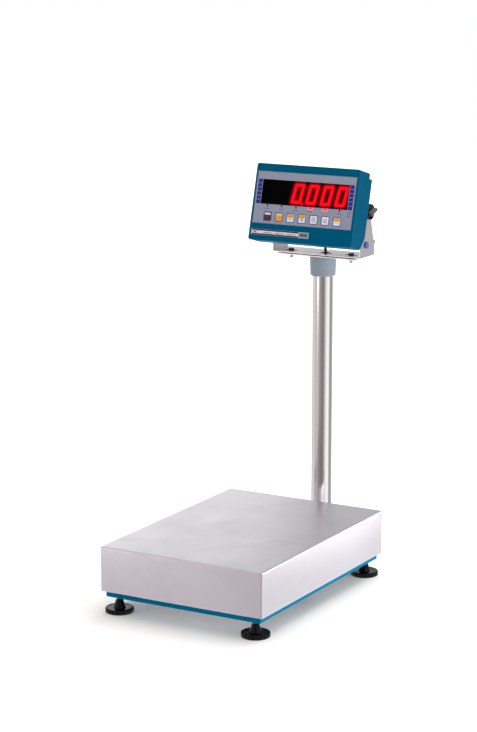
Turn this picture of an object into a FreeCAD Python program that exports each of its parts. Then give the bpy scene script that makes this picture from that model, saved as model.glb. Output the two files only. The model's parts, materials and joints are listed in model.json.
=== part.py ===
"""Bench scale: a weighing base on four screw feet, a post behind it and a tilting indicator.

Lengths are in millimetres. +Z is up and +Y is to the rear. The origin lies on the floor, in the
middle of the whole object. The indicator's pieces are drawn in its own upright frame, whose origin
is the centre of the front face (x right, y into the housing, z up), and are leaned back by their
placements.
"""
import FreeCAD, Part
import math
import os
import re
import Sketcher

SIZES = [
    # weighing pan and floor clearance
    ("pan_width", 320, "pan, side to side"),
    ("pan_length", 450, "pan, front to back"),
    ("pan_height", 80, "pan, depth of its skirt"),
    ("pan_sheet", 1.5, "pan, sheet thickness"),
    ("pan_bend", 2.5, "pan, outer bend radius"),
    # feet
    ("foot_x", 135.5, "foot axis from the centre line"),
    ("foot_y", 203, "foot axis from the middle of the pan"),
    ("foot_radius", 25, "foot disc radius"),
    ("foot_edge", 8.5, "foot disc thickness"),
    ("foot_chamfer", 1, "chamfer at the foot of the disc"),
    ("foot_crown", 1.5, "chamfer on top of the disc"),
    ("foot_hub_base", 10.25, "foot hub radius at the disc"),
    ("foot_hub_top", 6.5, "foot hub radius at its top"),
    ("foot_hub_height", 14, "foot hub height"),
    ("foot_flutes", 36, "number of grip flutes"),
    ("flute_radius", 1.3, "radius of one grip flute"),
    ("stud_radius", 5, "foot stud radius"),
    ("stud_above", 22, "foot stud length above the underside of the frame"),
    ("thread_gap", 0.08, "radial clearance that stands for a thread"),
    ("foot_nut_flats", 16, "foot nut across flats"),
    ("foot_nut_height", 8, "foot nut height"),
    ("stud_gap", 0.5, "radial clearance of a stud in the rail"),
    # base frame
    ("frame_bottom", 28.3, "underside of the frame above the floor"),
    ("frame_inset", 6.4, "frame side behind the pan's outer face"),
    ("rail_height", 30, "frame rail height"),
    ("rail_width", 30, "frame rail width"),
    ("rail_wall", 2.5, "frame rail wall"),
    ("beam_width", 60, "cross beam width"),
    # load cell stack
    ("spacer_height", 6, "load cell spacer thickness"),
    ("spacer_length", 40, "load cell spacer length"),
    ("cell_length", 150, "load cell length"),
    ("cell_width", 40, "load cell width"),
    ("cell_height", 30, "load cell height"),
    ("cell_hole", 8, "load cell flexure hole radius"),
    ("cell_hole_pitch", 26, "distance between the flexure holes"),
    ("cell_slot", 5, "height of the slot that joins the flexure holes"),
    ("cell_bolt_pitch", 20, "distance between the two bolts at each end"),
    ("bolt_radius", 4, "main bolt radius"),
    ("bolt_gap", 0.3, "radial clearance of a bolt hole"),
    ("bolt_head_radius", 6.5, "main bolt head radius"),
    ("bolt_head_height", 5, "main bolt head height"),
    ("bolt_grip_in_cell", 18, "length of bolt inside the load cell"),
    ("main_nut_height", 6.5, "main nut height"),
    ("head_cover", 0.5, "depth of a sunk bolt head below the face"),
    # load frame
    ("load_bar_x", 100, "load frame bar from the centre line"),
    ("load_bar_width", 20, "load frame bar width"),
    ("load_bar_height", 14, "load frame bar and cross plate height"),
    ("load_bar_inset", 13, "load frame bar end behind the pan's outer face"),
    ("load_cross_width", 50, "load frame cross plate width"),
    ("load_pad_radius", 12, "rubber pad radius"),
    ("load_pad_height", 3.7, "rubber pad height"),
    ("load_pad_inset", 30, "rubber pad centre behind the pan's outer face"),
    ("overload_gap", 0.6, "gap over each overload stop"),
    # post and its bracket
    ("post_setback", 65, "post axis behind the pan's rear face"),
    ("post_radius", 19.05, "post outer radius"),
    ("post_wall", 1.5, "post wall"),
    ("bracket_width", 90, "post bracket width"),
    ("bracket_plate", 6, "post bracket thickness"),
    ("bracket_grip", 12.5, "bolt length past the bracket"),
    ("bracket_inner", 14, "inner bracket bolts from the centre line"),
    ("bracket_outer", 36, "outer bracket bolts from the centre line"),
    ("flange_side", 56, "post flange side"),
    ("flange_plate", 6, "post flange thickness"),
    ("flange_bolt", 21, "flange bolt from the post axis, along X and Y"),
    # collar and plates on top of the post
    ("collar_height", 37.9, "collar height"),
    ("collar_base_radius", 24, "collar radius at its lower end"),
    ("collar_top_radius", 25, "collar radius at its upper end"),
    ("collar_roof", 6.2, "thickness of the collar above the post"),
    ("collar_round", 1.8, "rounding of the collar's lower edge"),
    ("collar_fit", 0.1, "radial clearance of the collar on the post"),
    ("cable_way", 16, "radius of the cable way through collar and plate"),
    ("top_plate_width", 162, "post top plate, side to side"),
    ("top_plate_depth", 64, "post top plate, front to back"),
    ("top_plate", 2, "post top plate thickness"),
    ("plate_screw_circle", 19.7, "radius of the circle of plate screws"),
    ("plate_screw_radius", 1.5, "plate screw radius"),
    ("plate_screw_head", 2.8, "plate screw head radius"),
    ("plate_screw_cap", 0.9, "plate screw head height"),
    ("screw_gap", 0.1, "radial clearance of a small screw"),
    # yoke that carries the indicator
    ("yoke_spacer", 1.2, "gap between post top plate and yoke"),
    ("yoke_sheet", 2, "yoke sheet thickness"),
    ("yoke_clearance", 4.7, "gap between a yoke arm and the rear cover"),
    ("yoke_depth", 60, "yoke base, front to back"),
    ("yoke_shoulder", 22, "height of the arm's straight foot"),
    ("shoulder_inset", 1.5, "arm's foot behind the yoke base's edge"),
    ("blade_inset", 3.5, "foot of the arm's blade behind the yoke base's edge"),
    ("yoke_arm_end", 10, "arm radius round the pivot"),
    ("yoke_tab_reach", 33, "rear stop tab from the post axis"),
    ("yoke_tab_radius", 4, "rear stop tab radius"),
    ("yoke_hole", 5, "radius of the hole low in each arm"),
    ("yoke_hole_rise", 20, "height of that hole above the yoke base"),
    ("plug_cap_radius", 6.5, "radius of the cap of the plug in that hole"),
    ("plug_cap", 2.5, "thickness of the plug's cap"),
    ("plug_lip_radius", 5.6, "radius of the plug's lip inside the arm"),
    ("plug_lip", 1, "thickness of the plug's lip"),
    ("pivot_gap", 0.4, "radial clearance of the knob stud in the arm"),
    ("yoke_slot_y", -8, "slots from the post axis"),
    ("yoke_slot_radius", 4, "slot end radius"),
    ("yoke_slot_length", 26, "slot length"),
    ("yoke_bolt_x", 62, "yoke bolt from the centre line"),
    ("yoke_bolt_radius", 3, "yoke bolt radius"),
    ("yoke_bolt_tail", 9, "bolt length below the post top plate"),
    ("yoke_head_radius", 5.25, "yoke bolt head radius"),
    ("yoke_bolt_head", 3.6, "yoke bolt head height"),
    ("yoke_ring_radius", 6.6, "outer radius of the yoke's spacer rings"),
    ("yoke_nut_flats", 10, "yoke nut across flats"),
    ("yoke_nut_height", 5, "yoke nut height"),
    ("cable_x", 10, "cable from the centre line at the yoke"),
    ("cable_radius", 2.5, "load cell cable radius"),
    ("cable_outlet", 46, "cable outlet in the post above the floor"),
    ("cable_entry", 34.8, "cable hole in the rear rail above the floor"),
    # indicator
    ("pivot_height", 655.5, "tilt axis above the floor"),
    ("pivot_above_collar", 86, "tilt axis above the collar's upper end"),
    ("pivot_depth", 79, "tilt axis behind the front face"),
    ("pivot_rise", 4.7, "tilt axis above the centre of the front face"),
    ("lean", 15, "backward lean of the indicator, in degrees"),
    ("face_width", 210, "front face width"),
    ("face_height", 141, "front face height"),
    ("shell_depth", 52, "front shell depth"),
    ("shell_top_depth", 41, "front shell depth at its top edge"),
    ("shell_step", 10.5, "height of the shallower top strip"),
    ("shell_bottom_depth", 38, "front shell depth at its bottom edge"),
    ("shell_slope", 24.5, "height of the slanted lower rear side"),
    ("shell_wall", 3, "housing wall"),
    ("shell_round", 4, "corner radius of the front shell"),
    ("cover_round", 3, "edge radius of the rear cover"),
    ("overlay_margin", 4, "face left free on each side of the keypad overlay"),
    ("overlay_height", 96, "keypad overlay height"),
    ("overlay_drop", 14, "keypad overlay's upper edge below the face's"),
    ("overlay_recess", 1, "recess that holds overlay and window"),
    ("overlay_sheet", 0.8, "overlay and window thickness"),
    ("overlay_gap", 0.2, "gap round overlay, window and keys"),
    ("window_margin", 12.5, "overlay left free on each side of the display window"),
    ("window_height", 45, "display window height"),
    ("window_shift", 10.5, "display window centre above the overlay's"),
    ("window_seat", 2, "how far the shell reaches behind the window's edge"),
    ("key_count", 7, "number of keys"),
    ("key_pitch", 23.6, "distance between keys"),
    ("key_width", 13.6, "key width"),
    ("key_height", 14.4, "key height"),
    ("key_shift", 34.5, "key row centre below the overlay's"),
    ("key_thickness", 2.4, "key cap thickness"),
    ("plunger_radius", 3, "key plunger radius"),
    ("switch_gap", 0.6, "gap between plunger and display board"),
    ("board_depth", 12, "display board behind the front face"),
    ("board_sheet", 1.6, "circuit board thickness"),
    ("board_margin", 6, "gap between display board and the shell's side walls"),
    ("board_height", 92, "display board height"),
    ("board_shift", 5.5, "display board centre below the overlay's"),
    ("main_board_width", 130, "main board width"),
    ("main_board_height", 56, "main board height"),
    ("peg_radius", 3, "radius of the pegs that carry the boards"),
    ("peg_inset", 5, "peg centre behind a board's edges"),
    ("peg_height", 2.4, "height of the main board's pegs"),
    ("digit_count", 6, "number of digit modules"),
    ("digit_gap", 1.8, "gap between digit modules"),
    ("digit_height", 40, "digit module height"),
    ("digit_thickness", 7.5, "digit module thickness"),
    ("digit_shift", -0.5, "middle of the digit row from the centre line"),
    ("label_width", 119, "label plate width"),
    ("label_height", 11, "label plate height"),
    ("label_x", -41, "label plate centre"),
    ("label_lift", 15, "label plate centre above the face's lower edge"),
    ("label_sheet", 0.5, "label plate thickness"),
    ("cover_width", 168, "rear cover width"),
    ("cover_drop", 20, "rear cover top below the shell's step"),
    ("cover_lift", 2, "rear cover bottom above the shell's slope"),
    ("cover_rear", 96, "rear cover back behind the front face"),
    ("rear_rim", 16, "rim of the shell's rear opening inside the cover's outline"),
    ("gasket_sheet", 1.2, "gasket thickness"),
    ("gasket_width", 6, "gasket width"),
    ("cover_screw_inset", 8, "cover screw from the rear cover's sides"),
    ("cover_screw_radius", 2, "cover screw radius"),
    ("cover_screw_head", 3.6, "cover screw head radius"),
    ("cover_screw_cap", 2.2, "cover screw head height"),
    ("cover_post_radius", 4.5, "screw pillar radius"),
    ("gland_depth", 85, "cable gland behind the front face"),
    ("gland_radius", 7, "cable gland radius"),
    ("gland_dome", 6, "radius of the gland's cap"),
    ("gland_thread", 4.9, "radius of the gland's threaded neck"),
    ("gland_length", 14, "cable gland length below the cover"),
    ("inlet_depth", 81, "power inlet behind the front face"),
    ("inlet_x", -48, "power inlet from the centre line"),
    ("inlet_radius", 8, "power inlet radius"),
    ("inlet_thread", 5.6, "radius of the inlet's threaded neck"),
    ("inlet_bore", 4.4, "radius of the inlet's socket"),
    ("inlet_length", 6, "power inlet length below the cover"),
    # clamp knobs
    ("knob_gap", 0.4, "gap on both sides of a yoke arm"),
    ("knob_radius", 14.5, "knob disc radius"),
    ("knob_disc", 7, "knob disc thickness"),
    ("wing_reach", 12.5, "knob wing tip from the axis"),
    ("wing_width", 8, "knob wing width"),
    ("wing_height", 7, "knob wing height"),
    ("wing_flare", 1.5, "how far the wing widens outwards at each tip"),
    ("wing_taper", 1.5, "how far the wing narrows outwards on each flank"),
    ("wing_turn", 20, "knob wing angle at rest, in degrees"),
    ("pivot_stud_radius", 4, "knob stud radius"),
    ("pivot_stud_depth", 9, "knob stud length inside the rear cover's boss"),
    ("knob_skin", 2, "knob thickness outside its stud"),
    ("boss_radius", 9, "pivot boss radius"),
    ("boss_root", 5, "pivot boss length inside the rear cover"),
    # making
    ("over", 1, "how far a cutting tool reaches past a face"),
    ("lap", 0.1, "how far fused solids reach into each other"),
]

# Places worked out from the sizes above, as expressions.
PLACES = {
    "post_y": "(pan_length / 2 + post_setback)",
    "front_reach": "(foot_y + foot_radius)",
    "rear_reach": "(post_y + yoke_tab_reach)",
    "mid_y": "((front_reach - rear_reach) / 2)",
    "post_line": "(mid_y + post_y)",
    "frame_half_x": "(pan_width / 2 - frame_inset)",
    "frame_half_y": "(pan_length / 2 - frame_inset)",
    "rail_x": "(frame_half_x - rail_width / 2)",
    "rail_y": "(frame_half_y - rail_width / 2)",
    "frame_top": "(frame_bottom + rail_height)",
    "cell_bottom": "(frame_top + spacer_height)",
    "cell_top": "(cell_bottom + cell_height)",
    "load_bottom": "(cell_top + spacer_height)",
    "pan_under": "(load_bottom + load_bar_height + load_pad_height)",
    "pan_top": "(pan_under + pan_sheet)",
    "cell_end_x": "(cell_length / 2 - spacer_length / 2)",
    "bolt_hole": "(bolt_radius + bolt_gap)",
    "bracket_top": "frame_bottom",
    "bracket_bottom": "(frame_bottom - bracket_plate)",
    "bracket_front": "(mid_y + frame_half_y - rail_width)",
    "bracket_rear": "(post_line + flange_side / 2)",
    "flange_top": "(frame_bottom + flange_plate)",
    "collar_top": "(pivot_height - pivot_above_collar)",
    "collar_bottom": "(collar_top - collar_height)",
    "post_end": "(collar_top - collar_roof)",
    "top_plate_top": "(collar_top + top_plate)",
    "yoke_bottom": "(top_plate_top + yoke_spacer)",
    "yoke_top": "(yoke_bottom + yoke_sheet)",
    "yoke_inner": "(cover_width / 2 + yoke_clearance)",
    "yoke_width": "(2 * (yoke_inner + yoke_sheet))",
    "slot_line": "(post_line + yoke_slot_y)",
    "face_y": "(post_line - pivot_depth * cos(lean) - pivot_rise * sin(lean))",
    "face_z": "(pivot_height + pivot_depth * sin(lean) - pivot_rise * cos(lean))",
    "overlay_width": "(face_width - 2 * overlay_margin)",
    "overlay_rise": "(face_height / 2 - overlay_drop - overlay_height / 2)",
    "window_width": "(overlay_width - 2 * window_margin)",
    "window_rise": "(overlay_rise + window_shift)",
    "key_rise": "(overlay_rise - key_shift)",
    "board_width": "(face_width - 2 * shell_wall - 2 * board_margin)",
    "board_rise": "(overlay_rise - board_shift)",
    "digit_pitch": "((window_width + digit_gap) / digit_count)",
    "digit_width": "(digit_pitch - digit_gap)",
    "label_rise": "(label_lift - face_height / 2)",
    "cover_front": "(shell_depth + gasket_sheet)",
    "cover_top": "(face_height / 2 - shell_step - cover_drop)",
    "cover_bottom": "(shell_slope - face_height / 2 + cover_lift)",
    "main_board_rise": "((cover_top + cover_bottom) / 2)",
    "boss_end": "(yoke_inner - knob_gap)",
    "knob_start": "(yoke_width / 2 + knob_gap)",
}
ALIASES = {alias for alias, value, note in SIZES}
TURN_X = FreeCAD.Rotation(FreeCAD.Vector(0, 1, 0), 90)
TURN_Y = FreeCAD.Rotation(FreeCAD.Vector(1, 0, 0), -90)
UPRIGHT = FreeCAD.Rotation()

os.makedirs("parts", exist_ok=True)
doc = FreeCAD.newDocument("bench_scale")
nodes = []


def link(text):
    """Turn named sizes and places into references to the spreadsheet's cells."""
    def resolve(match):
        word = match.group()
        if word in PLACES:
            return "(" + link(PLACES[word]) + ")"
        if word in ALIASES:
            return "Size." + word
        return word
    return re.sub(r"[A-Za-z_]\w*", resolve, str(text))


def fill_sheet():
    """Write each driving size, its alias and its meaning into the spreadsheet."""
    sheet = doc.addObject("Spreadsheet::Sheet", "Size")
    for row, (alias, value, note) in enumerate(SIZES, start=1):
        sheet.set(f"A{row}", note)
        sheet.set(f"B{row}", str(value))
        sheet.setAlias(f"B{row}", alias)
    doc.recompute()
    return sheet


def bind(item, **links):
    """Tie an object's properties to expressions over the spreadsheet."""
    for name, text in links.items():
        item.setExpression(name, link(text))


def put(item, x, y, z, turn=UPRIGHT):
    """Turn an object and tie its position."""
    item.Placement = FreeCAD.Placement(FreeCAD.Vector(), turn)
    for axis, text in zip("xyz", (x, y, z)):
        item.setExpression("Placement.Base." + axis, link(text))
    return item


def block(size, x, y, z):
    """Block centred on x and y and standing on z; size is width, depth and height."""
    item = doc.addObject("Part::Box", "Block")
    bind(item, Length=size[0], Width=size[1], Height=size[2])
    return put(item, f"{x} - ({size[0]}) / 2", f"{y} - ({size[1]}) / 2", z)


def panel(size, x, depth, z):
    """Block centred on x and z, reaching back from a depth; size is width, thickness, height."""
    item = doc.addObject("Part::Box", "Panel")
    bind(item, Length=size[0], Width=size[1], Height=size[2])
    return put(item, f"{x} - ({size[0]}) / 2", depth, f"{z} - ({size[2]}) / 2")


def rod(radius, length, x, y, z, turn=UPRIGHT):
    """Cylinder from a point along +Z, or along the axis that the turn gives."""
    item = doc.addObject("Part::Cylinder", "Rod")
    bind(item, Radius=radius, Height=length)
    return put(item, x, y, z, turn)


def cone(low_radius, high_radius, length, x, y, z):
    """Upright cone frustum standing on a point."""
    item = doc.addObject("Part::Cone", "Cone")
    bind(item, Radius1=low_radius, Radius2=high_radius, Height=length)
    return put(item, x, y, z)


def hexagon(flats, length, x, y, z, turn=UPRIGHT):
    """Hexagonal prism from a point along +Z, or along the axis that the turn gives."""
    item = doc.addObject("Part::Prism", "Hexagon")
    item.Polygon = 6
    bind(item, Circumradius=f"({flats}) / sqrt(3)", Height=length)
    return put(item, x, y, z, turn)


def fuse(*pieces):
    """One solid from several that meet."""
    item = doc.addObject("Part::MultiFuse", "Fuse")
    item.Shapes = list(pieces)
    item.Refine = True
    return item


def cut(base, *tools):
    """A base with tools taken out of it."""
    item = doc.addObject("Part::Cut", "Cut")
    item.Base = base
    item.Tool = tools[0] if len(tools) == 1 else fuse(*tools)
    item.Refine = True
    return item


def group(*pieces):
    """Separate solids kept as one sub-part."""
    item = doc.addObject("Part::Compound", "Group")
    item.Links = list(pieces)
    return item


def soften(solid, radius, wanted):
    """Fillet the edges of a primitive that a test on the edge and the solid's box picks."""
    doc.recompute()
    item = doc.addObject("Part::Fillet", "Softened")
    item.Base = solid
    box = solid.Shape.BoundBox
    picked = [index for index, edge in enumerate(solid.Shape.Edges, start=1)
              if wanted(edge, box)]
    item.Edges = [(index, radius, radius) for index in picked]
    return item


def keep(item, label):
    """Name a finished sub-part and list it for export."""
    item.Label = label
    nodes.append(item)
    return item


def keep_leaned(item, label):
    """Keep a sub-part drawn in the indicator's frame and lean it back into place."""
    if item.TypeId == "Part::Box":
        item = group(item)
    lean = FreeCAD.Rotation(FreeCAD.Vector(-1, 0, 0), size["lean"])
    put(item, "0", "face_y", "face_z", lean)
    item.setExpression("Placement.Rotation.Angle", link("lean"))
    return keep(item, label)


def sketch_on(body, name, role, offset="0"):
    """Empty sketch on one of a body's own origin planes."""
    sketch = body.newObject("Sketcher::SketchObject", name)
    plane = [item for item in body.Origin.OriginFeatures if item.Role == role][0]
    sketch.AttachmentSupport = (plane, "")
    sketch.MapMode = "FlatFace"
    sketch.setExpression("AttachmentOffset.Base.z", link(offset))
    return sketch


def outline(sketch, corners):
    """Closed outline whose corners are tied to the sketch's origin."""
    count = len(corners)
    angles = [2 * math.pi * index / count for index in range(count)]
    ring = [FreeCAD.Vector(math.cos(angle), math.sin(angle), 0) for angle in angles]
    first = sketch.GeometryCount
    for index in range(count):
        sketch.addGeometry(Part.LineSegment(ring[index], ring[(index + 1) % count]))
    for index in range(count):
        after = first + (index + 1) % count
        sketch.addConstraint(Sketcher.Constraint("Coincident", first + index, 2, after, 1))
    for index, corner in enumerate(corners):
        for kind, text, start in zip(("DistanceX", "DistanceY"), corner, ring[index]):
            tie = Sketcher.Constraint(kind, -1, 1, first + index, 1, start)
            place = sketch.addConstraint(tie)
            sketch.setExpression(f"Constraints[{place}]", link(text))


def rectangle(sketch, width, height):
    """Outline of a rectangle centred on the sketch's origin."""
    half_x, half_y = f"({width}) / 2", f"({height}) / 2"
    outline(sketch, [(f"-({half_x})", f"-({half_y})"), (half_x, f"-({half_y})"),
                     (half_x, half_y), (f"-({half_x})", half_y)])


def circle(sketch, x, y, radius):
    """Circle tied to a place in the sketch."""
    item = sketch.addGeometry(Part.Circle(FreeCAD.Vector(9, 0, 0), FreeCAD.Vector(0, 0, 1), 2))
    ties = [("DistanceX", (-1, 1, item, 3, 9), x), ("DistanceY", (-1, 1, item, 3, 0), y),
            ("Radius", (item, 2), radius)]
    for kind, values, text in ties:
        place = sketch.addConstraint(Sketcher.Constraint(kind, *values))
        sketch.setExpression(f"Constraints[{place}]", link(text))


def pad(body, sketch, length, side="One side"):
    """Pad a sketch by a tied length."""
    feature = body.newObject("PartDesign::Pad", "Pad")
    feature.Profile = sketch
    feature.SideType = side
    bind(feature, Length=length)
    doc.recompute()
    return feature


def pocket(body, sketch, length, side="One side", reverse=False):
    """Pocket a sketch by a tied length and make sure that it took something away."""
    before = body.Shape.Volume
    feature = body.newObject("PartDesign::Pocket", "Pocket")
    feature.Profile = sketch
    feature.SideType = side
    feature.Reversed = reverse
    bind(feature, Length=length)
    doc.recompute()
    if body.Shape.Volume > before - 1e-3:
        raise ValueError(f"{body.Name}: a pocket removed nothing")
    return feature


def round_edges(body, radius, wanted):
    """Fillet the edges of a body that a test on their two end points picks."""
    shape = body.Tip.Shape
    names = []
    for index, edge in enumerate(shape.Edges, start=1):
        ends = [vertex.Point for vertex in edge.Vertexes]
        if len(ends) == 2 and wanted(ends[0], ends[1]):
            names.append(f"Edge{index}")
    base = body.Tip
    feature = body.newObject("PartDesign::Fillet", "Rounding")
    feature.Base = (base, names)
    bind(feature, Radius=radius)
    doc.recompute()
    return feature


# ---------------------------------------------------------------- base frame

def tube_along_x(width, height, wall, length, y, z, label, *holes):
    """Rectangular tube across the scale, with holes."""
    outer = block((length, width, height), "0", y, z)
    inner = block((f"{length} + 2 * over", f"{width} - 2 * {wall}", f"{height} - 2 * {wall}"),
                  "0", y, f"{z} + {wall}")
    keep(cut(outer, inner, *holes), label)


def side_rail(side, label):
    """Rail along one side of the frame; the foot studs pass its lower wall."""
    x = f"{side} * rail_x"
    outer = block(("rail_width", "2 * frame_half_y", "rail_height"), x, "mid_y", "frame_bottom")
    inner = block(("rail_width - 2 * rail_wall", "2 * frame_half_y - 2 * rail_wall",
                   "rail_height - 2 * rail_wall"), x, "mid_y", "frame_bottom + rail_wall")
    holes = [rod("stud_radius + stud_gap", "rail_wall + 2 * over", f"{side} * foot_x",
                 f"mid_y + {end} * foot_y", "frame_bottom - over") for end in (-1, 1)]
    keep(cut(outer, inner, *holes), label)


def end_rail(end, label, *holes):
    """Rail across the front or the rear of the frame; the overload stops stand on it."""
    stops = [rod("bolt_hole", "rail_wall + 2 * over", f"{side} * load_bar_x",
                 f"mid_y + {end} * rail_y", "frame_top - rail_wall - over") for side in (-1, 1)]
    tube_along_x("rail_width", "rail_height", "rail_wall", "2 * (frame_half_x - rail_width)",
                 f"mid_y + {end} * rail_y", "frame_bottom", label, *stops, *holes)


BRACKET_BOLTS = ("-bracket_outer", "-bracket_inner", "bracket_inner", "bracket_outer")


def base_frame():
    """Four rails and the cross beam under the load cell."""
    side_rail("-1", "frame_rail_left")
    side_rail("1", "frame_rail_right")
    end_rail("-1", "frame_rail_front")
    cable_hole = rod("cable_radius + over", "rail_width + 2 * over", "0",
                     "mid_y + rail_y - rail_width / 2 - over", "cable_entry", TURN_Y)
    bolt_holes = [rod("bolt_hole", "rail_wall + 2 * over", x, "mid_y + rail_y", "frame_bottom - over")
                  for x in BRACKET_BOLTS]
    end_rail("1", "frame_rail_rear", cable_hole, *bolt_holes)
    cell_holes = [rod("bolt_hole", "rail_height + 2 * over", f"-cell_end_x + {side} * cell_bolt_pitch / 2",
                      "mid_y", "frame_bottom - over") for side in (-1, 1)]
    tube_along_x("beam_width", "rail_height", "rail_wall", "2 * (frame_half_x - rail_width)",
                 "mid_y", "frame_bottom", "frame_beam", *cell_holes)


def nut(flats, height, bore, x, y, z):
    """Hexagon nut standing on a point."""
    hole = rod(f"({bore})", f"{height} + 2 * over", x, y, f"{z} - over")
    return cut(hexagon(flats, height, x, y, z), hole)


def bolt(radius, length, head_radius, head_height, x, y, seat, head_below):
    """Bolt whose head bears on the level of its seat."""
    if head_below:
        head = rod(head_radius, head_height, x, y, f"{seat} - {head_height}")
        return fuse(head, rod(radius, f"{length} + lap", x, y, f"{seat} - lap"))
    head = rod(head_radius, head_height, x, y, seat)
    return fuse(head, rod(radius, f"{length} + lap", x, y, f"{seat} - ({length})"))


def main_nut(x, y, z):
    """Nut of the main bolt size."""
    return nut("2 * bolt_head_radius", "main_nut_height", "bolt_radius + thread_gap", x, y, z)


# ---------------------------------------------------------------- feet

def foot(side, end, label):
    """Fluted disc with its conical hub, and the threaded stud that carries it."""
    body = doc.addObject("PartDesign::Body", "Disc_" + label)
    half = sketch_on(body, "Half_section", "XZ_Plane")
    outline(half, [("0", "0"), ("foot_radius - foot_chamfer", "0"),
                   ("foot_radius", "foot_chamfer"), ("foot_radius", "foot_edge - foot_crown"),
                   ("foot_radius - foot_crown", "foot_edge"),
                   ("foot_hub_base", "foot_edge"),
                   ("foot_hub_top", "foot_edge + foot_hub_height"),
                   ("0", "foot_edge + foot_hub_height")])
    turned = body.newObject("PartDesign::Revolution", "Turned")
    turned.Profile = half
    turned.ReferenceAxis = (half, ["V_Axis"])
    turned.Angle = 360
    doc.recompute()
    bore = sketch_on(body, "Stud_bore", "XY_Plane", "foot_edge / 2")
    circle(bore, "0", "0", "stud_radius")
    pocket(body, bore, "foot_edge + foot_hub_height", reverse=True)
    flute = sketch_on(body, "Flute", "XY_Plane", "-over")
    circle(flute, "foot_radius + flute_radius / 2", "0", "flute_radius")
    first = pocket(body, flute, "foot_edge + 2 * over", reverse=True)
    ring = body.newObject("PartDesign::PolarPattern", "Flutes")
    ring.Originals = [first]
    ring.Axis = (flute, ["N_Axis"])
    ring.Angle = 360
    bind(ring, Occurrences="foot_flutes")
    body.Tip = ring
    x, y = f"{side} * foot_x", f"mid_y + {end} * foot_y"
    keep(put(body, x, y, "0"), "foot_pad_" + label)
    keep(rod("stud_radius", "frame_bottom + stud_above - foot_edge / 2", x, y,
             "foot_edge / 2"), "foot_stud_" + label)


def feet():
    """Four screw feet and the nuts welded inside the side rails."""
    nuts = []
    for end, row in (("-1", "front"), ("1", "rear")):
        for side, hand in (("-1", "left"), ("1", "right")):
            foot(side, end, f"{row}_{hand}")
            nuts.append(nut("foot_nut_flats", "foot_nut_height", "stud_radius + thread_gap",
                            f"{side} * foot_x", f"mid_y + {end} * foot_y",
                            "frame_bottom + rail_wall"))
    keep(group(*nuts), "foot_nuts")


# ---------------------------------------------------------------- load cell and load frame

def cell_bolt_places(side):
    """X of the two bolts at the fixed (-1) or free (1) end of the load cell."""
    return [f"{side} * cell_end_x + {hand} * cell_bolt_pitch / 2" for hand in (-1, 1)]


def load_cell():
    """Bar with two flexure holes joined by a slot, fixed at -X and loaded at +X."""
    bar = block(("cell_length", "cell_width", "cell_height"), "0", "mid_y", "cell_bottom")
    middle = "cell_bottom + cell_height / 2"
    holes = [rod("cell_hole", "cell_width + 2 * over", f"{side} * cell_hole_pitch / 2",
                 "mid_y - cell_width / 2 - 1", middle, TURN_Y) for side in (-1, 1)]
    slot = block(("cell_hole_pitch", "cell_width + 2 * over", "cell_slot"), "0", "mid_y",
                 f"{middle} - cell_slot / 2")
    depth = "bolt_grip_in_cell + 2 * over"
    low = [rod("bolt_hole", depth, x, "mid_y", "cell_bottom - over")
           for x in cell_bolt_places("-1")]
    high = [rod("bolt_hole", depth, x, "mid_y", "cell_top - bolt_grip_in_cell - over")
            for x in cell_bolt_places("1")]
    keep(cut(bar, *holes, slot, *low, *high), "load_cell")


def cell_spacer(side, level, label):
    """Plate between the load cell's end and what it is bolted to."""
    plate = block(("spacer_length", "cell_width", "spacer_height"), f"{side} * cell_end_x",
                  "mid_y", level)
    holes = [rod("bolt_hole", "spacer_height + 2 * over", x, "mid_y", f"{level} - over")
             for x in cell_bolt_places(side)]
    keep(cut(plate, *holes), label)


def load_stack():
    """Load cell, its spacers, the load frame above it and the stops below that frame."""
    cell_spacer("-1", "frame_top", "load_cell_spacer")
    load_cell()
    length = "rail_height + spacer_height + bolt_grip_in_cell"
    keep(group(*[bolt("bolt_radius", length, "bolt_head_radius", "bolt_head_height", x, "mid_y",
                      "frame_bottom", True) for x in cell_bolt_places("-1")]),
         "load_cell_bolts")
    cell_spacer("1", "cell_top", "load_spacer")
    seat = "load_bottom + load_bar_height - bolt_head_height - head_cover"
    cross = block(("2 * load_bar_x - load_bar_width", "load_cross_width", "load_bar_height"),
                  "0", "mid_y", "load_bottom")
    wells = [rod("bolt_head_radius + bolt_gap", "bolt_head_height + 2 * over", x, "mid_y", seat)
             for x in cell_bolt_places("1")]
    holes = [rod("bolt_hole", "load_bar_height + 2 * over", x, "mid_y", "load_bottom - over")
             for x in cell_bolt_places("1")]
    keep(cut(cross, *wells, *holes), "load_frame_cross")
    length = f"{seat} - cell_top + bolt_grip_in_cell"
    keep(group(*[bolt("bolt_radius", length, "bolt_head_radius", "bolt_head_height", x, "mid_y",
                      seat, False) for x in cell_bolt_places("1")]), "load_frame_bolts")
    bars, pads, stops = [], [], []
    for side in (-1, 1):
        x = f"{side} * load_bar_x"
        bars.append(block(("load_bar_width", "pan_length - 2 * load_bar_inset",
                           "load_bar_height"), x, "mid_y", "load_bottom"))
        for end in (-1, 1):
            pads.append(rod("load_pad_radius", "load_pad_height", x,
                            f"mid_y + {end} * (pan_length / 2 - load_pad_inset)",
                            "load_bottom + load_bar_height"))
            y = f"mid_y + {end} * rail_y"
            low = "frame_top - rail_wall - main_nut_height"
            stops.append(rod("bolt_radius", f"load_bottom - overload_gap - ({low})", x, y, low))
            stops.append(main_nut(x, y, low))
            stops.append(main_nut(x, y, "frame_top"))
    keep(group(*bars), "load_frame_bars")
    keep(group(*pads), "rubber_pads")
    keep(group(*stops), "overload_stops")


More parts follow.
